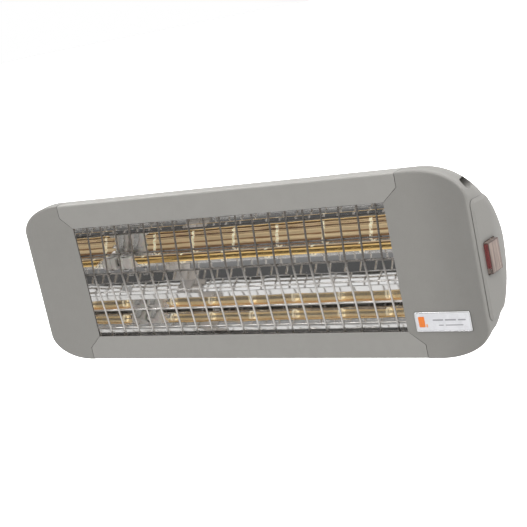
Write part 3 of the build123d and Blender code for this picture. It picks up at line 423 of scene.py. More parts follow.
def boot_material():
    """Smoky clear moulding: dark edges of painted shade, frosted outer face, red showing in its
    front wall.
    """
    g = shade("boot_clear_smoky")
    colour, rough = (0.47, 0.375, 0.325), 0.20
    ripple = g.noise(260.0, stretch=(1.0, 1.0, 0.35))
    lines = g.noise(420.0, rough=0.65, stretch=(1.0, 1.0, 0.06))
    fine = g.noise(1500.0)
    edges = g.edge(0.0014, start=0.84, end=0.98)
    x, y, z = g.split()
    facing = g.split(g.normal())
    front = g.mul(g.span(facing[1], -0.6, -0.85), g.span(z, -0.0085, -0.0065))
    outer_face = g.span(facing[0], 0.6, 0.85)
    pale = tuple(v * 1.18 for v in colour)
    deep = tuple(v * 0.72 for v in colour)
    base = g.mix(g.span(lines, 0.40, 0.62), pale, deep)
    base = g.mix(g.mul(front, 0.85), base, (0.42, 0.035, 0.040))
    # painted shade: dark outline round the outer face, down the corners and along the foot
    wide = g.span(g.abs(g.add(y, -SWITCH_Y / 1000)), 0.0082, 0.0087)
    high = g.span(g.abs(z), 0.0111, 0.0116)
    raised = g.span(x, 0.2395, 0.2399)
    outline = g.most(g.mul(raised, g.most(wide, high)), g.mul(wide, high))
    outline = g.most(outline, g.span(x, 0.2365, 0.2362))
    edges = g.most(edges, outline)
    base = g.mix(g.mul(edges, 0.90), base, (0.075, 0.045, 0.038))
    roughness = g.add(g.span(ripple, 0.3, 0.8, to=(rough * 0.7, rough * 1.4)), g.mul(fine, 0.05))
    clear = g.sub(g.sub(0.62, g.mul(outer_face, 0.14)), g.mul(edges, 0.35))
    normal = g.bump(ripple, 0.00006, g.bump(lines, 0.00002, g.bump(fine, 0.000012)))
    return g.done(g.principled(Base_Color=base, Roughness=roughness, Transmission_Weight=clear,
                               IOR=1.41, Normal=normal))


# ------------------------------------------------------------------ gilded quartz
def lamp_coords(g):
    """X, distance behind the lamp's axis, and Z."""
    x, y, z = g.split()
    return x, g.add(y, -LAMP_Y / 1000), z


def painted_support_rings(g, x, top):
    """1 in ragged rings over the filament supports, on the soft side only: a painted highlight of
    the supports lit through the coating.
    """
    ragged = g.centred(g.noise(520.0), 0.0026)
    rings = None
    for support in SUPPORTS:
        distance = g.abs(g.add(g.add(x, ragged), -support / 1000))
        near = g.span(distance, 0.0019, 0.0012)
        rings = near if rings is None else g.most(rings, near)
    specks = g.span(g.noise(900.0, detail=2.0, rough=0.5), 0.36, 0.50)
    return g.mul(g.mul(rings, top), specks)


def darken_gold(g, base, phi, top):
    """Dark lines along the coating's soft side, and a dark patchy band where it begins."""
    line = g.most(g.span(g.abs(g.add(phi, -radians(83))), radians(4.0), radians(2.2)),
                  g.span(phi, radians(121), radians(127)))
    line = g.mul(line, top)
    base = g.mix(g.mul(line, 0.80), base, (0.26, 0.11, 0.045))
    dark_band = g.span(g.abs(g.add(phi, -radians(60))), radians(12.0), radians(8.0))
    patchy = g.span(g.noise(45.0, stretch=(0.4, 1.0, 1.0)), 0.25, 0.50, to=(0.55, 0.92))
    return g.mix(g.mul(dark_band, patchy), base, (0.15, 0.068, 0.030))


def gold_film(g):
    """Gold coating: glossy in front, softer on top and behind, with painted light: the top and back
    painted paler and glowing, pale rings painted over the supports, and a glow on the cavity's skin.
    """
    streak = g.noise(60.0, detail=4.0, stretch=(0.25, 9.0, 9.0))
    cloud = g.noise(38.0, detail=4.0)
    x, behind, z = lamp_coords(g)
    phi = g.math("ARCTAN2", z, g.mul(behind, -1.0))  # 0 at the front, rising over the top
    top = g.most(g.span(phi, radians(50), radians(64)), g.span(phi, radians(-120), radians(-140)))
    rings = painted_support_rings(g, x, top)
    base = g.mix(g.span(cloud, 0.3, 0.75), (0.98, 0.69, 0.30), (0.92, 0.62, 0.25))
    base = g.mix(g.span(streak, 0.74, 0.88), base, (0.74, 0.45, 0.15))
    # painted light: the top and back are paler, as the tube looks when lit from behind
    base = g.mix(top, base, (0.90, 0.70, 0.43))
    base = darken_gold(g, base, phi, top)
    rough = g.add(g.span(streak, 0.3, 0.8, to=(0.08, 0.11)), g.span(cloud, 0.3, 0.8, to=(0.0, 0.03)))
    rough = g.add(rough, g.mul(top, 0.26))
    # the skin of the cavity is paler and rougher
    squares = g.add(g.math("POWER", behind, 2.0), g.math("POWER", z, 2.0))
    inner = g.span(g.math("POWER", squares, 0.5), 0.0046, 0.0044)
    base = g.mix(inner, base, (0.82, 0.68, 0.43))
    base = g.mix(rings, base, (0.98, 0.90, 0.66))
    rough = g.add(rough, g.mul(inner, 0.30))
    # painted light: glow on the cavity's skin and on the top and back, brightest on the support
    # rings
    painted_gold_glow = g.add(g.most(g.mul(inner, 0.19), g.mul(top, 0.17)), g.mul(rings, 0.36))
    return g.principled(Base_Color=base, Metallic=1.0, Roughness=rough,
                        Normal=g.bump(streak, 0.0000006),
                        Emission_Color=base, Emission_Strength=painted_gold_glow)


def clear_quartz(g):
    """Glass that lets shadow and diffuse rays straight through."""
    seed = g.noise(240.0, stretch=(0.12, 1.0, 1.0))
    haze = g.noise(70.0, detail=4.0)
    glass = g.principled(
        Base_Color=(0.985, 0.985, 0.98), Roughness=g.span(haze, 0.4, 0.9, to=(0.0, 0.06)),
        Transmission_Weight=1.0, IOR=1.458, Normal=g.bump(seed, 0.0000015))
    ray = g.ray()
    soft = g.most(ray["Is Shadow Ray"], ray["Is Diffuse Ray"])
    return g.blend(soft, glass, g.transparent(Color=(0.96, 0.96, 0.95)))


def quartz_material():
    """Clear quartz with gold over half its girth, tapering at the ends."""
    g = shade("quartz_gold_film")
    glass = clear_quartz(g)
    x, behind, z = lamp_coords(g)
    # angle away from the middle of the coating
    c, s = cos(GOLD_MIDDLE), sin(GOLD_MIDDLE)
    toward = g.add(g.mul(behind, -c), g.mul(z, s))
    aside = g.add(g.mul(behind, s), g.mul(z, c))
    angle = g.abs(g.math("ARCTAN2", aside, toward))
    ragged = g.centred(g.noise(420.0), 0.10)
    side = g.span(g.add(angle, ragged), radians(92), radians(89))
    tip = g.add(g.abs(x), g.mul(angle, 0.0052))
    end = g.span(g.add(tip, g.mul(ragged, 0.01)),
                 GOLD_HALF / 1000 + 0.0002, GOLD_HALF / 1000 - 0.0002)
    return g.done(g.blend(g.mul(side, end), glass, gold_film(g)))


# ------------------------------------------------------------------ material of each CAD slot
CAP_PAINT = paint_material("cap_paint_satin", cap_tint=0.77)
MIRROR = mirror_material("reflector_bright_aluminium", waviness=0.00006)
SUPPORT = support_material()
MATERIALS = {
    "body_paint": paint_material("body_paint_satin"),
    "reflector_mirror": mirror_material("reflector_end_aluminium", waviness=0.00012),
    "guard_steel": metal_material(
        "guard_bright_wire", (0.70, 0.675, 0.645), (0.58, 0.56, 0.535), (0.88, 0.86, 0.84),
        rough=0.30, spread=0.14, scratch=0.000012, brushed=(0.5, 12.0, 12.0),
        dirt=(0.42, 0.40, 0.38), grain=1500.0, upper_shade=(0.17, 0.156, 0.142)),
    "stainless": metal_material(
        "stainless_brushed", (0.66, 0.655, 0.64), (0.56, 0.555, 0.545), (0.80, 0.795, 0.78),
        rough=0.30, spread=0.14, scratch=0.000012, brushed=(1.0, 14.0, 1.0)),
    "steel": metal_material(
        "zinc_plated_steel", (0.60, 0.605, 0.61), (0.66, 0.64, 0.58), (0.78, 0.78, 0.77),
        rough=0.33, spread=0.16, scratch=0.000016, dirt=(0.46, 0.45, 0.43)),
    "brass": metal_material(
        "brass_plain", (0.72, 0.53, 0.26), (0.62, 0.43, 0.19), (0.85, 0.68, 0.38),
        spread=0.14, scratch=0.000012, dirt=(0.40, 0.26, 0.12)),
    "aluminium": metal_material(
        "aluminium_rivet", (0.78, 0.78, 0.775), (0.66, 0.66, 0.655), (0.88, 0.88, 0.875),
        rough=0.34, spread=0.14, scratch=0.000014),
    "badge_chrome": metal_material(
        "badge_chrome_rim", (0.80, 0.80, 0.80), (0.72, 0.72, 0.725), (0.9, 0.9, 0.9),
        rough=0.12, spread=0.08, scratch=0.000004),
    "tungsten": metal_material(
        "tungsten_wire", (0.42, 0.40, 0.385), (0.30, 0.285, 0.275), (0.55, 0.53, 0.5),
        rough=0.32, spread=0.14, grain=1400.0),
    "ceramic": ceramic_material(),
    "seal_rubber": rubber_material(
        "seal_silicone_dark", (0.018, 0.018, 0.018), (0.05, 0.05, 0.048)),
    "gland_black": plastic_material(
        "gland_black_nylon", (0.016, 0.016, 0.017), (0.030, 0.030, 0.031),
        bump=0.000025, grain=1100.0, edge_tone=(0.06, 0.06, 0.06)),
    "switch_black": plastic_material(
        "switch_black_nylon", (0.013, 0.013, 0.014), (0.024, 0.024, 0.025),
        rough=0.34, bump=0.000015, grain=1300.0, coat=0.1, edge_tone=(0.05, 0.05, 0.05)),
    "cable_black": rubber_material(
        "cable_black_rubber", (0.014, 0.014, 0.015), (0.045, 0.044, 0.042)),
    "wire_brown": plastic_material(
        "wire_brown_silicone", (0.115, 0.045, 0.020), (0.15, 0.062, 0.028)),
    "wire_blue": plastic_material(
        "wire_blue_silicone", (0.015, 0.07, 0.30), (0.025, 0.10, 0.38)),
    "wire_green": plastic_material(
        "wire_green_yellow", (0.03, 0.22, 0.04), (0.04, 0.28, 0.05), stripe=(0.75, 0.62, 0.03)),
    "sleeve_white": sleeve_material(),
    "quartz_gold": quartz_material(),
    "rocker_red": red_material(),
    "boot_clear": boot_material(),
}


def dress_cad_pieces():
    for name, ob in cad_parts.items():
        for slot in ob.material_slots:
            key = slot.material.name.split(".")[0] if slot.material else ""
            cap = name.startswith("end_cap")
            slot.material = CAP_PAINT if cap else MATERIALS.get(key, MATERIALS["steel"])


dress_cad_pieces()


# ------------------------------------------------------------------ mesh helpers (mm)
def ring_faces(first, second, count):
    """Quads between two rings of points, given by the index each starts at."""
    faces = []
    for k in range(count):
        after = (k + 1) % count
        faces.append((first + k, first + after, second + after, second + k))
    return faces


def ring_stack_faces(rings, count, start=0):
    return [f for i in range(rings - 1)
            for f in ring_faces(start + i * count, start + (i + 1) * count, count)]


class Shells:
    """Collects closed shells into one mesh."""

    def __init__(self):
        self.verts, self.faces, self.slots = [], [], []

    def shell(self, verts, faces, slot=0):
        start = len(self.verts)
        self.verts += [tuple(v) for v in verts]
        self.faces += [tuple(i + start for i in f) for f in faces]
        self.slots += [slot] * len(faces)

    def stack(self, loops, slot=0):
        """Closed skin over loops of equal length, capped at both ends."""
        count = len(loops[0])
        faces = ring_stack_faces(len(loops), count)
        faces.append(tuple(range(count))[::-1])
        faces.append(tuple((len(loops) - 1) * count + k for k in range(count)))
        self.shell([v for loop in loops for v in loop], faces, slot)

    def sweep(self, path, radius, sides):
        """Round wire along a path."""
        path = [Vector(p) for p in path]
        last = len(path) - 1
        tangents = [(path[min(i + 1, last)] - path[max(i - 1, 0)]).normalized()
                    for i in range(last + 1)]
        across = Vector((0, 0, 1)) if abs(tangents[0].z) < 0.9 else Vector((1, 0, 0))
        loops = []
        for point, tangent in zip(path, tangents):
            # carry the frame along without twist
            across = (across - tangent * across.dot(tangent)).normalized()
            third = tangent.cross(across)
            angles = [2 * pi * k / sides for k in range(sides)]
            loops.append([point + (across * cos(a) + third * sin(a)) * radius for a in angles])
        self.stack(loops)

    def lathe(self, profile, sides, direction=1):
        """Turn (along, radius) points about the lamp's axis; both ends are poles."""
        origin, axis = Vector((0, LAMP_Y, 0)), Vector((direction, 0, 0))
        up = Vector((0, 0, 1))
        across = axis.cross(up)
        verts, rings, faces = [], [], []
        for along, radius in profile:
            if radius == 0.0:
                rings.append([len(verts)] * sides)
                verts.append(origin + axis * along)
                continue
            rings.append(list(range(len(verts), len(verts) + sides)))
            for k in range(sides):
                a = 2 * pi * k / sides
                verts.append(origin + axis * along + (up * cos(a) + across * sin(a)) * radius)
        for ring, following in zip(rings, rings[1:]):
            for k in range(sides):
                after = (k + 1) % sides
                quad = (ring[k], ring[after], following[after], following[k])
                faces.append(tuple(dict.fromkeys(quad)))  # a triangle at a pole
        self.shell(verts, faces)


def rounded_loop(width, height, radius, steps=6):
    """Points round a rounded rectangle, counter-clockwise."""
    x, y = width / 2 - radius, height / 2 - radius
    points = []
    for cx, cy, start in ((x, y, 0), (-x, y, 90), (-x, -y, 180), (x, -y, 270)):
        for k in range(steps + 1):
            a = radians(start + 90.0 * k / steps)
            points.append((cx + radius * cos(a), cy + radius * sin(a)))
    return points


def add_object(name, data):
    ob = bpy.data.objects.new(name, data)
    bpy.context.scene.collection.objects.link(ob)
    return ob


def raw_mesh(name, shells):
    mesh = bpy.data.meshes.new(name)
    points = [(x / 1000.0, y / 1000.0, z / 1000.0) for x, y, z in shells.verts]
    mesh.from_pydata(points, [], shells.faces)
    return mesh


def make(name, shells, slot, sharp, stands_for=None, materials=None):
    """Turn shells into a smooth object on the head; edges over `sharp` degrees stay sharp."""
    mesh = raw_mesh(name, shells)
    for material in materials or [MATERIALS[slot]]:
        mesh.materials.append(material)
    if len(mesh.materials) > 1:
        for polygon, index in zip(mesh.polygons, shells.slots):
            polygon.material_index = index
    bm = bmesh.new()
    bm.from_mesh(mesh)
    bmesh.ops.remove_doubles(bm, verts=bm.verts, dist=1e-7)
    bmesh.ops.recalc_face_normals(bm, faces=bm.faces)
    for face in bm.faces:
        face.smooth = True
    bm.to_mesh(mesh)
    bm.free()
    mesh.set_sharp_from_angle(angle=radians(sharp))
    ob = add_object(name, mesh)
    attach(ob, "head")
    if stands_for:
        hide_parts(stands_for)
    return ob


# ------------------------------------------------------------------ folded reflector sheet
# (depth, Z) of the upper folds, from the middle of the back to the front
UPPER_FOLDS = [(79.2, 0.0), (76.9, 12.5), (72.5, 21.8), (65.6, 32.9), (61.3, 36.5), (49.8, 42.9),
               (28.1, 50.5)]
FLANGE = [(14.0, 56.2), (14.0, 61.0)]  # upper flange, its fold and its edge
FOLD_CUT = 0.75  # how far a rounded fold reaches along each flat
FLAT_STEP = 3.5
SHEET_HALF, SHEET_STEPS, SHEET_THICK = 181.0, 96, 0.8
# unevenness of the sheet: (amount, rate along X, rate per facet, rate round the section, phase)
SHEET_WAVES = [(0.42, 0.0612, 2.1, 0.031, 0.0), (0.30, 0.1043, 4.7, -0.052, 1.3),
               (0.18, 0.197, 1.9, 0.11, 0.0), (0.10, 0.361, -3.3, 0.17, 0.0)]


def wobble(x, arc, facet):
    """Smooth value within about -1 to 1."""
    return sum(amount * sin(x * along + facet * per_facet + arc * around + phase)
               for amount, along, per_facet, around, phase in SHEET_WAVES)


def toward(start, goal, distance):
    length = dist(start, goal)
    return tuple(s + (g - s) * distance / length for s, g in zip(start, goal))


def reflector_path():
    """(depth, z, facet number) points from the lower flange to the upper one."""
    upper = UPPER_FOLDS + FLANGE
    corners = [(depth, -z) for depth, z in reversed(upper[1:])] + upper
    path = [corners[0] + (0,)]
    for i in range(1, len(corners) - 1):
        corner, following = corners[i], corners[i + 1]
        fold_in = toward(corner, corners[i - 1], FOLD_CUT)
        fold_out = toward(corner, following, FOLD_CUT)
        for t in (0.0, 0.25, 0.5, 0.75, 1.0):
            depth, z = [(1 - t) ** 2 * a + 2 * t * (1 - t) * b + t * t * c
                        for a, b, c in zip(fold_in, corner, fold_out)]
            path.append((depth, z, i if t > 0.5 else i - 1))
        if i < len(corners) - 2:
            steps = max(2, int(dist(corner, following) / FLAT_STEP))
            flat_end = toward(following, corner, FOLD_CUT)
            for k in range(1, steps):
                depth, z = [a + (b - a) * k / steps for a, b in zip(fold_out, flat_end)]
                path.append((depth, z, i))
    path.append(corners[-1] + (len(corners) - 1,))
    return path


def sheet_faces(stations, count):
    """Skin over stations that each hold `count` front points, then `count` back points."""
    faces = []
    for i in range(stations - 1):
        a, b = i * 2 * count, (i + 1) * 2 * count
        back_a, back_b = a + count, b + count
        for k in range(count - 1):
            faces.append((a + k, a + k + 1, b + k + 1, b + k))
            faces.append((back_a + k, back_b + k, back_b + k + 1, back_a + k + 1))
        faces.append((a, b, back_b, back_a))
        faces.append((back_a - 1, back_a + count - 1, back_b + count - 1, back_b - 1))
    for i in (0, stations - 1):
        a = i * 2 * count
        for k in range(count - 1):
            faces.append((a + k, a + count + k, a + count + k + 1, a + k + 1))
    return faces


def build_reflector():
    path = reflector_path()
    count = len(path)
    normals, arcs, arc = [], [], 0.0
    for i, point in enumerate(path):
        a, b = path[max(i - 1, 0)][:2], path[min(i + 1, count - 1)][:2]
        length = dist(a, b)
        normals.append(((b[1] - a[1]) / length, -(b[0] - a[0]) / length))
        if i:
            arc += dist(point[:2], path[i - 1][:2])
        arcs.append(arc)
    verts = []
    for station in range(SHEET_STEPS + 1):
        x = -SHEET_HALF + 2 * SHEET_HALF * station / SHEET_STEPS
        # the unevenness fades out near the ends and is slight on the flanges
        fade = max(0.0, min(1.0, (172.0 - abs(x)) / 14.0))
        fade = fade * fade * (3 - 2 * fade)
        for side in (0.0, SHEET_THICK):
            for (depth, z, facet), (nd, nz), arc in zip(path, normals, arcs):
                calm = 0.2 if abs(z) > 55.9 else 1.0
                out = side + 0.055 * fade * wobble(x, arc, facet * 0.37) * calm
                verts.append((x, at_depth(depth + nd * out), z + nz * out))
    shells = Shells()
    shells.shell(verts, sheet_faces(SHEET_STEPS + 1, count))
    make("reflector_sheet", shells, "reflector_mirror", 40, "reflector", [MIRROR])


build_reflector()

# ------------------------------------------------------------------ lamp
# (X, radius) of the left end, from its pole to the straight wall
TUBE_END = [(-165.6, 0.0), (-165.6, 2.4), (-165.2, 3.9), (-164.2, 4.9), (-162.8, 5.3)]
CAVITY_END = [(-160.6, 0.0), (-160.4, 1.6), (-159.6, 3.1), (-158.0, 4.0), (-156.0, 4.25)]
COIL_HALF, COIL_TURNS, POINTS_PER_TURN = 149.5, 210, 10
COIL_RADIUS, COIL_WIRE = 0.98, 0.26
# (X, offset behind the axis, Z) of a lead, from the tube's end to the coil
LEAD = [(159.8, 0.0, 0.0), (155.0, 0.0, 0.0), (152.0, 0.1, 0.1), (150.2, 0.6, 0.4),
        (COIL_HALF, 0.95, 0.1)]
SPIRAL_STEPS, SPIRAL_TURNS, SPIRAL_LENGTH, SPIRAL_WIRE = 74, 4.4, 3.8, 0.24
SPIRAL_RADIUS, GRIP_RADIUS = 4.0, 1.62
# ceramic base blocks: (inner X, outer X, Y size, Z size, corner radius, chamfer)
BASE_BLOCKS = [(163.8, 167.2, 11.6, 12.0, 2.4, 0.5), (166.9, 172.0, 9.0, 11.4, 1.2, 0.35),
               (171.7, 173.6, 7.9, 10.4, 1.1, 0.2), (173.3, 179.0, 9.0, 11.8, 1.2, 0.45)]
# (X, radius) of the potting cement bead where the quartz enters
CEMENT_BEAD = [(163.2, 0.0), (163.2, 5.0), (163.35, 5.5), (163.75, 5.62), (164.1, 5.4),
               (164.2, 0.0)]


def tube_shells(end, steps, sides):
    """A straight wall between an end profile and its mirror image."""
    x, radius = end[-1]
    wall = [(x - 2 * x * k / steps, radius) for k in range(1, steps)]
    shells = Shells()
    shells.lathe(end + wall + [(-x, r) for x, r in reversed(end)], sides)
    return shells


def build_tube():
    tube = make("lamp_quartz_tube", tube_shells(TUBE_END, steps=80, sides=64),
                "quartz_gold", 60, "lamp_tube")
    # the cavity's skin faces inward
    cavity = raw_mesh("cavity", tube_shells(CAVITY_END, steps=40, sides=48))
    bm = bmesh.new()
    bm.from_mesh(cavity)
    bmesh.ops.recalc_face_normals(bm, faces=bm.faces)
    bmesh.ops.reverse_faces(bm, faces=bm.faces)
    bm.to_mesh(cavity)
    bm.free()
    bm = bmesh.new()
    bm.from_mesh(tube.data)
    bm.from_mesh(cavity)
    for face in bm.faces:
        face.smooth = True
    bm.to_mesh(tube.data)
    bm.free()
    bpy.data.meshes.remove(cavity)


def build_filament():
    shells = Shells()
    steps = COIL_TURNS * POINTS_PER_TURN
    path = []
    for k in range(steps + 1):
        a = 2 * pi * k / POINTS_PER_TURN
        x = -COIL_HALF + 2 * COIL_HALF * k / steps
        path.append((x, LAMP_Y + COIL_RADIUS * cos(a), COIL_RADIUS * sin(a)))
    shells.sweep(path, COIL_WIRE, sides=5)
    for side in (1, -1):
        shells.sweep([(side * x, LAMP_Y + y, z) for x, y, z in LEAD], radius=0.42, sides=8)
    make("filament_coil", shells, "tungsten", 60, "filament")


def spiral_radius(t):
    """Full size, then closing in on the coil."""
    if t < 0.75:
        return SPIRAL_RADIUS
    return SPIRAL_RADIUS - (t - 0.75) / 0.15 * 2.3 if t < 0.90 else GRIP_RADIUS


def build_supports():
    shells = Shells()
    for x in SUPPORTS:
        path = []
        for k in range(SPIRAL_STEPS + 1):
            t = k / SPIRAL_STEPS
            a = t * 2 * pi * SPIRAL_TURNS
            r = spiral_radius(t)
            path.append((x + SPIRAL_LENGTH * (t - 0.5), LAMP_Y + r * cos(a), r * sin(a)))
        shells.sweep(path, SPIRAL_WIRE, sides=6)
    make("filament_support_spirals", shells, "tungsten", 60, "filament_supports", [SUPPORT])


def build_lamp_base(side, name):
    shells = Shells()
    for x0, x1, width, height, corner, c in BASE_BLOCKS:
        loops = []
        for x, inset in ((x0, c), (x0 + c * 0.3, c * 0.3), (x0 + c, 0.0),
                         (x1 - c, 0.0), (x1 - c * 0.3, c * 0.3), (x1, c)):
            outline = rounded_loop(width - 2 * inset, height - 2 * inset,
                                   max(corner - inset, 0.2))
            loops.append([(side * x, LAMP_Y + y, z) for y, z in outline])
        shells.stack(loops)
    shells.lathe(CEMENT_BEAD, sides=32, direction=side)
    make("lamp_base_ceramic_" + name, shells, "ceramic", 40, "lamp_base_" + name)


build_tube()
build_filament()
build_supports()
build_lamp_base(1, "right")
build_lamp_base(-1, "left")

# ------------------------------------------------------------------ guard welds
WELD_PITCH_X, WELD_PITCH_Z = 17.1, 17.85
GUARD_RIDGE_Z, GUARD_EDGE_Z = 6.8, 57.0
GUARD_RIDGE_DEPTH, GUARD_EDGE_DEPTH = 1.2, 7.0
NUGGET_X, NUGGET_Y, NUGGET_Z = 0.98, 0.80, 0.92  # half sizes
NUGGET_VARIATION = 0.096774  # share by which the nuggets differ
NUGGET_RINGS, NUGGET_SIDES = 4, 8


def guard_depth(z):
    """The guard slopes back from its ridge to both edges."""
    edge = GUARD_EDGE_Z if z > GUARD_RIDGE_Z else -GUARD_EDGE_Z
    share = min(1.0, (z - GUARD_RIDGE_Z) / (edge - GUARD_RIDGE_Z))
    return GUARD_RIDGE_DEPTH + (GUARD_EDGE_DEPTH - GUARD_RIDGE_DEPTH) * share


def build_guard_welds():
    shells = Shells()
    for i in range(-9, 10):
        for k in range(6):
            x, z = i * WELD_PITCH_X, GUARD_RIDGE_Z + (2 - k) * WELD_PITCH_Z
            depth = guard_depth(z) + 0.75
            half_x = NUGGET_X * (1 + NUGGET_VARIATION * sin(i * 3.1 + k))
            half_z = NUGGET_Z * (1 + NUGGET_VARIATION * cos(i * 1.7 - k))
            verts = []
            for ring in range(NUGGET_RINGS + 1):
                t = pi * ring / NUGGET_RINGS
                for corner in range(NUGGET_SIDES):
                    a = 2 * pi * corner / NUGGET_SIDES
                    verts.append((x + half_x * sin(t) * cos(a), at_depth(depth + NUGGET_Y * cos(t)),
                                  z + half_z * sin(t) * sin(a)))
            shells.shell(verts, ring_stack_faces(NUGGET_RINGS + 1, NUGGET_SIDES))
    make("guard_weld_nuggets", shells, "guard_steel", 60)


build_guard_welds()

# ------------------------------------------------------------------ badge
BADGE_X, BADGE_Z = 197.5, -44.65
# (depth, width, height, corner radius); negative depth stands out in front of the face
BADGE_FRAME = [(0.38, 47.6, 15.7, 1.4), (0.2, 48.0, 16.1, 1.5), (-0.45, 48.0, 16.1, 1.5),
               (-0.68, 47.7, 15.8, 1.4), (-0.80, 47.3, 15.4, 1.3), (-0.80, 46.9, 15.0, 1.15),
               (-0.72, 46.6, 14.7, 1.05), (-0.40, 46.4, 14.5, 1.0)]
BADGE_CROWN = [(-0.38, 46.3, 14.4, 1.0), (-0.58, 46.2, 14.3, 1.0), (-0.63, 45.8, 13.9, 0.9),
               (-0.66, 43.0, 11.6, 0.8), (-0.68, 36.0, 6.0, 0.6)]
FRAME, PLATE, ORANGE, GREY, PALE = range(5)  # material slots
# raised marks: (X from the middle, Z from the middle, width, height, corner radius, slot)
BADGE_MARKS = [(-18.3, 0.2, 5.4, 8.6, 0.8, ORANGE), (-14.2, -2.9, 1.4, 2.6, 0.4, PALE),
               (-4.0, 1.6, 9.0, 1.15, 0.3, GREY), (6.8, 1.6, 9.4, 1.15, 0.3, GREY),
               (16.4, 1.6, 6.6, 1.15, 0.3, GREY), (9.5, -2.6, 15.0, 0.8, 0.25, GREY),
               (-1.8, -2.6, 4.0, 0.8, 0.25, GREY)]
MARK_STEPS = [(-0.60, 0.0), (-0.723, 0.0), (-0.75, 0.05)]  # (depth, inset)


def ink(name, colour, patches):
    return plastic_material(name, colour, patches, rough=0.35, bump=0.000006, grain=1400.0,
                            coat=0.35)


def badge_materials():
    plate = plastic_material("badge_silver_white", (0.72, 0.72, 0.75), (0.80, 0.80, 0.825),
                             rough=0.28, bump=0.000008, grain=1500.0, coat=0.5)
    orange = ink("badge_orange_block", (0.86, 0.20, 0.015), (0.92, 0.26, 0.03))
    pale = ink("badge_orange_pale", (0.86, 0.36, 0.14), (0.9, 0.42, 0.2))
    grey = ink("badge_grey_line", (0.30, 0.30, 0.32), (0.38, 0.38, 0.40))
    return [MATERIALS["badge_chrome"], plate, orange, grey, pale]


def build_badge():
    """Chrome frame, pale crowned plate, and raised blocks and lines."""
    shells = Shells()

    def loop(depth, outline, x=0.0, z=0.0):
        return [(BADGE_X + x + u, at_depth(depth), BADGE_Z + z + v) for u, v in outline]

    for table, slot in ((BADGE_FRAME, FRAME), (BADGE_CROWN, PLATE)):
        shells.stack([loop(depth, rounded_loop(*size)) for depth, *size in table], slot)
    for x, z, width, height, corner, slot in BADGE_MARKS:
        loops = []
        for depth, inset in MARK_STEPS:
            radius = min(corner, height / 2 - inset - 0.01, width / 2 - inset - 0.01)
            outline = rounded_loop(width - 2 * inset, height - 2 * inset, radius, steps=4)
            loops.append(loop(depth, outline, x, z))
        shells.stack(loops, slot)
    make("badge_plate_generic", shells, "badge_chrome", 30, "badge", badge_materials())


build_badge()

# ------------------------------------------------------------------ splash boot of the switch
# (distance out from the seat, Y size, Z size, corner radius), from the seat to the outer face
BOOT_OUTSIDE = [
    (0.03, 19.5, 25.3, 1.2), (0.35, 19.56, 25.36, 1.25), (0.95, 19.3, 25.1, 1.25),
    (1.2, 19.0, 24.8, 1.25), (2.4, 18.85, 24.65, 1.3), (4.0, 18.65, 24.5, 1.35),
    (4.45, 18.5, 24.3, 1.3), (4.78, 18.1, 23.9, 1.15), (4.93, 17.5, 23.3, 1.0),
    (4.98, 16.8, 22.6, 0.9), (5.02, 9.0, 15.0, 0.8)]
# the same, from under the outer face back to the seat
BOOT_INSIDE = [
    (4.1, 8.0, 14.0, 0.8), (4.08, 14.2, 21.4, 0.8), (3.9, 15.2, 22.6, 0.9),
    (3.5, 15.7, 23.3, 1.0), (1.6, 15.9, 23.5, 1.0), (0.03, 15.9, 23.5, 1.0)]


def build_boot():
    loops = [[(SEAT_X + out, SWITCH_Y + y, z) for y, z in rounded_loop(*size, steps=8)]
             for out, *size in BOOT_OUTSIDE + BOOT_INSIDE]
    count = len(loops[0])
    inside = len(BOOT_OUTSIDE) * count
    foot = (len(loops) - 1) * count
    faces = ring_stack_faces(len(BOOT_OUTSIDE), count)
    faces.append(tuple(range(inside - count, inside)))
    faces.append(tuple(range(inside, inside + count))[::-1])
    faces += ring_stack_faces(len(BOOT_INSIDE), count, inside)
    faces += ring_faces(foot, 0, count)
    shells = Shells()
    shells.shell([v for loop in loops for v in loop], faces)
    make("switch_boot_clear", shells, "boot_clear", 40, "switch_boot")


build_boot()


# ------------------------------------------------------------------ floor, world, camera (m)
def floor_material():
    """A pale floor that only the camera sees."""
    g = shade("studio_floor_pale")
    tone = g.noise(0.8, detail=4.0)
    base = g.mix(g.span(tone, 0.3, 0.7), (0.90, 0.90, 0.90), (0.92, 0.92, 0.92))
    pale = g.principled(
        Base_Color=base, Roughness=g.span(tone, 0.3, 0.7, to=(0.7, 0.8)),
        Normal=g.bump(g.noise(40.0, rough=0.5), 0.0002), Specular_IOR_Level=0.2,
        Emission_Color=(1, 1, 1), Emission_Strength=1.0)
    return g.done(g.blend(g.ray()["Is Camera Ray"], g.transparent(), pale))


def build_floor():
    half, z = 40.0, -0.8
    mesh = bpy.data.meshes.new("studio_floor")
    corners = [(-half, -half, z), (half, -half, z), (half, half, z), (-half, half, z)]
    mesh.from_pydata(corners, [], [(0, 1, 2, 3)])
    mesh.materials.append(floor_material())
    add_object("studio_floor", mesh)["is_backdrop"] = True


# (degrees up from the front, brightness) round the X axis
MIRRORED_LIGHT = [
    (-180, 0.34), (-112, 0.30), (-108, 2.6), (-98, 2.6), (-94, 0.24), (-60, 0.26), (-44, 0.40),
    (-20, 0.42), (-7, 0.24), (0, 0.14), (8, 0.095), (14, 0.065), (24, 0.040), (41, 0.045),
    (44, 0.12), (46.5, 0.40), (52, 0.38), (56, 0.24), (62, 0.28), (65, 4.2), (74, 4.2),
    (77, 0.30), (104, 0.28), (108, 3.6), (120, 3.6), (124, 0.34), (170, 0.36)]
FILL_LIGHT = [
    (-180, 0.40), (-110, 0.33), (-70, 0.34), (-30, 0.45), (0, 0.47), (30, 0.47), (60, 0.56),
    (90, 0.76), (130, 0.66), (175, 0.40)]


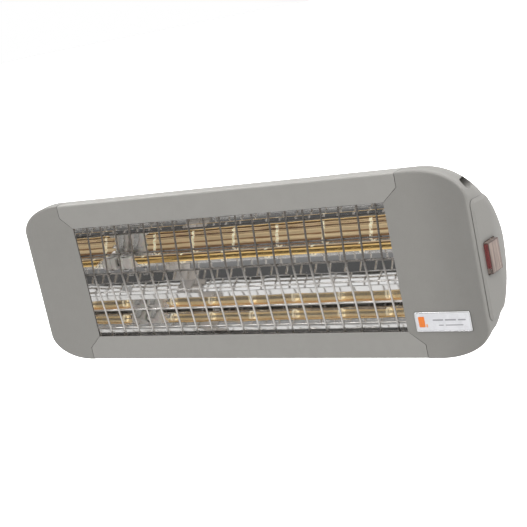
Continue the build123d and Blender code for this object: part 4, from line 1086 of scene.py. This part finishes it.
def build_world():
    """Soft light all round; the flat mirror facets show a narrow fan with brighter bands."""
    world = bpy.data.worlds.new("soft_studio")
    bpy.context.scene.world = world
    g = Shade(world, "World")
    x, y, z = g.split(g.node("ShaderNodeTexCoord").outputs["Generated"])
    theta = g.math("ARCTAN2", z, g.mul(y, -1.0))
    turn = g.add(g.mul(theta, 1 / (2 * pi)), 0.5)

    def light(rows):
        return g.grey_ramp(turn, [((angle / 180.0 + 1) / 2, value) for angle, value in rows])

    mirrored = light(MIRRORED_LIGHT)
    fill = light(FILL_LIGHT)
    side = g.abs(x)
    fan = g.mul(g.span(side, 0.44, 0.48), g.span(side, 0.76, 0.72))
    # the fill is brighter toward +X
    gain = g.span(x, -0.1, 1.0, to=(1.0, 1.22), smooth=False)
    fill = g.mix(1.0, fill, g.grey(gain), "MULTIPLY")

    def background(colour, strength):
        ins = {"Color": colour, "Strength": strength}
        return g.node("ShaderNodeBackground", ins).outputs[0]

    soft = background(g.mix(fan, fill, mirrored), strength=2.1)
    white = background((1, 1, 1), strength=1.0)
    g.done(g.blend(g.ray()["Is Camera Ray"], soft, white))
    world.cycles.sampling_method = "MANUAL"
    world.cycles.sample_map_resolution = 1024


CAMERA_PLACE = (0.65719597, -0.97551896, 0.23243019)
# camera axes: right, up, back
CAMERA_AXES = ((0.8089708, 0.5502363, -0.2068968),
               (0.0451646, 0.2927387, 0.9551252),
               (0.5861113, -0.7820128, 0.211966))


def build_camera():
    data = bpy.data.cameras.new("studio_camera")
    data.sensor_width = 36.0
    data.lens = 86.42654
    data.clip_start = 0.05
    data.clip_end = 200.0
    ob = add_object("studio_camera", data)
    turn = Matrix(CAMERA_AXES).transposed().to_4x4()
    ob.matrix_world = Matrix.Translation(CAMERA_PLACE) @ turn
    bpy.context.scene.camera = ob


def set_render():
    scene = bpy.context.scene
    scene.view_settings.view_transform = "Standard"
    scene.view_settings.look = "None"
    scene.cycles.max_bounces = 20
    scene.cycles.glossy_bounces = 14
    scene.cycles.transmission_bounces = 14
    scene.cycles.transparent_max_bounces = 12
    scene.cycles.diffuse_bounces = 4
    scene.cycles.blur_glossy = 0.2
    scene.cycles.use_denoising = True


build_floor()
build_world()
build_camera()
set_render()

{"cad_box": CAD_BOX, "visual_box": plain(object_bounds())}
